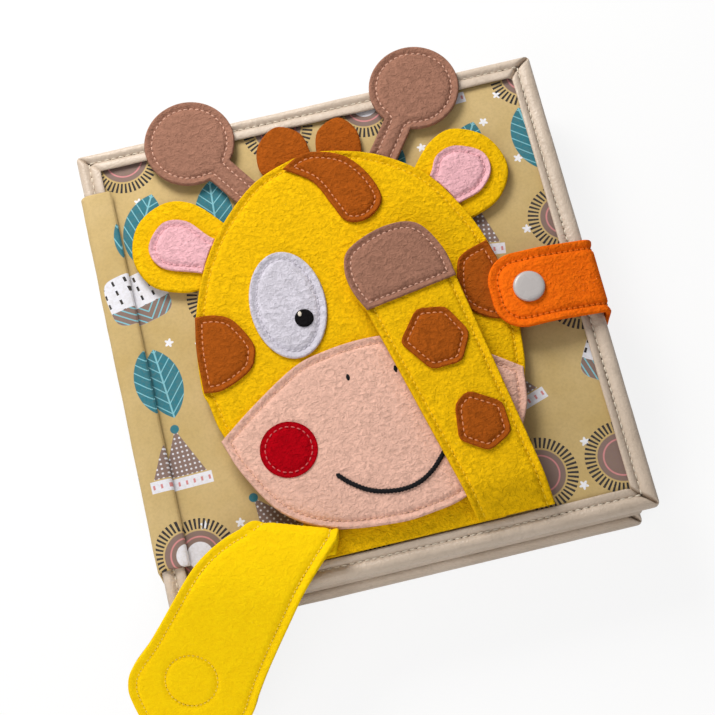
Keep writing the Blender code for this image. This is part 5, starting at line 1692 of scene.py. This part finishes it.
def strip_path(lap_level, up):
    """Carries a flat strip over a lap, round the spine's corner and along the spine's wall."""
    lap_run = STRIP_LAP_X - STRIP_WALL_X - STRIP_TURN
    turn_run = STRIP_TURN * math.pi / 2

    def carry(run, y, height):
        height += 0.00010 * noise.noise(Vector((run * 90, y * 60, up)))
        if run < STRIP_PRESSED:
            height -= 0.0007 * (1 - run / STRIP_PRESSED) ** 2
        if run > lap_run:
            wave = max(noise.noise(Vector((run * 45, y * 42, up))), 0)
            height += STRIP_RIPPLE * wave * min(1, (run - lap_run) * 300)
        if run < lap_run:
            x, z, heading = STRIP_LAP_X - run, lap_level, 0.0
        elif run < lap_run + turn_run:
            heading = (run - lap_run) / STRIP_TURN
            x = STRIP_LAP_X - lap_run - STRIP_TURN * math.sin(heading)
            z = lap_level - up * STRIP_TURN * (1 - math.cos(heading))
        else:
            heading = math.pi / 2
            x = STRIP_WALL_X
            z = lap_level - up * (STRIP_TURN + run - lap_run - turn_run)
        return x - height * math.sin(heading), y, z + up * height * math.cos(heading)

    return carry, lap_run + turn_run


def make_strip(node, lap_level, up):
    """Half of the printed strip that wraps the spine, pressed down along its edge on the lap."""
    carry, bent_run = strip_path(lap_level, up)
    wall = up * (lap_level - HINGE_Z) - STRIP_TURN - 0.0002
    end = bent_run + wall
    half = STRIP_HALF_LENGTH
    thick = STRIP_THICKNESS / 2
    outline = np.array([(0, -half), (end, -half), (end, half), (0, half)])
    outline = outline * (1, up)
    mesh = Mesh()
    add_slab(mesh, outline, -thick, thick, rim=(counter_clockwise(outline), True),
             step=0.0016, rounding=0.0007)
    item = mesh.make(node + "_cloth", [materials["print_cloth"]],
                     lambda run, y, height: carry(run, y * up, height))
    settle(item, [node], "print_cloth")


def make_strips():
    front_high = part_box("spine_strip_front")[1].z
    make_strip("spine_strip_front", front_high - STRIP_THICKNESS / 2, 1)
    make_strip("spine_strip_back", STRIP_THICKNESS / 2 + 0.0001, -1)


# Floor, light and camera


FLOOR_REACH = 3.0
FLOOR_LEVEL = -0.0003
FLOOR_GLOW = 0.85
STUDIO_LIGHT = 0.26
# Place, size, power and tone of each lamp
LAMPS = {
    "key": ((-0.14, 0.46, 0.42), 0.26, 4.0, (1.0, 0.98, 0.95)),
    "fill": ((-0.30, -0.40, 0.35), 0.5, 1.75, (1.0, 0.98, 0.96)),
}


def floor_finish():
    """Pale paper that looks nearly white to the camera and still takes the book's shadow."""
    base = (0.92, 0.92, 0.92)
    finish = Finish("floor")
    cloudy = finish.noise(2, 2)
    made = finish.surface(finish.mix(cloudy, shade(base, 0.995), base), 0.9)
    glow = finish.node("ShaderNodeEmission", {"Color": (1, 1, 1, 1), "Strength": 1.0})
    seen = finish.node("ShaderNodeLightPath").outputs["Is Camera Ray"]
    share = finish.math("MULTIPLY", seen, FLOOR_GLOW)
    mixed = finish.node("ShaderNodeMixShader", {0: share, 1: finish.shader.outputs[0], 2: glow.outputs[0]})
    finish.tree.links.new(mixed.outputs[0], finish.tree.nodes["Material Output"].inputs["Surface"])
    return made


def make_stage():
    mesh = Mesh()
    corners = ((-1, -1), (1, -1), (1, 1), (-1, 1))
    mesh.add([(x * FLOOR_REACH, y * FLOOR_REACH, FLOOR_LEVEL) for x, y in corners], [(0, 1, 2, 3)])
    floor = mesh.make("floor", [floor_finish()])


def add_lamp(name, place, size, power, tone):
    """A soft square lamp that faces the middle of the book."""
    data = bpy.data.lights.new(name, "AREA")
    data.shape = "SQUARE"
    data.size = size
    data.energy = power
    data.color = tone
    lamp = bpy.data.objects.new(name, data)
    lamp.location = place
    lamp.rotation_euler = (-Vector(place)).to_track_quat("-Z", "Y").to_euler()
    bpy.context.scene.collection.objects.link(lamp)


def make_lights():
    """Soft light from all round that looks plain white, and two lamps."""
    world = bpy.data.worlds.new("studio")
    bpy.context.scene.world = world
    world.use_nodes = True
    tree = world.node_tree
    dim = tree.nodes["Background"]
    plain = tree.nodes.new("ShaderNodeBackground")
    for background, strength in ((dim, STUDIO_LIGHT), (plain, 1.0)):
        background.inputs["Color"].default_value = (1, 1, 1, 1)
        background.inputs["Strength"].default_value = strength
    path = tree.nodes.new("ShaderNodeLightPath")
    seen = path.outputs["Is Camera Ray"]
    for ray in ("Is Glossy Ray", "Is Transmission Ray"):
        either = tree.nodes.new("ShaderNodeMath")
        either.operation = "MAXIMUM"
        tree.links.new(seen, either.inputs[0])
        tree.links.new(path.outputs[ray], either.inputs[1])
        seen = either.outputs[0]
    mixed = tree.nodes.new("ShaderNodeMixShader")
    for index, source in enumerate((seen, dim.outputs[0], plain.outputs[0])):
        tree.links.new(source, mixed.inputs[index])
    tree.links.new(mixed.outputs[0], tree.nodes["World Output"].inputs["Surface"])
    for name, lamp in LAMPS.items():
        add_lamp(name, *lamp)


CAMERA_PLACE = (-0.040178, -0.259479, 0.787226)
CAMERA_RIGHT = (0.97279, -0.23001, -0.02772)
CAMERA_UP = (0.22701, 0.92246, 0.31231)
CAMERA_LENS = 97.04


def make_camera():
    """The photograph's viewpoint, fitted to the cover's corners."""
    data = bpy.data.cameras.new("camera")
    data.sensor_width = 36
    data.lens = CAMERA_LENS
    data.clip_start = 0.01
    camera = bpy.data.objects.new("camera", data)
    right = Vector(CAMERA_RIGHT).normalized()
    up = Vector(CAMERA_UP).normalized()
    axes = Matrix((right, up, right.cross(up))).transposed().to_4x4()
    camera.matrix_world = Matrix.Translation(CAMERA_PLACE) @ axes
    bpy.context.scene.collection.objects.link(camera)
    bpy.context.scene.camera = camera


make_camera()
make_lights()
make_stage()
make_leaves()
make_strips()
make_face()
make_leg_right()
make_leg_left()
make_strap()
make_snap()
bpy.context.scene.view_settings.view_transform = "Standard"
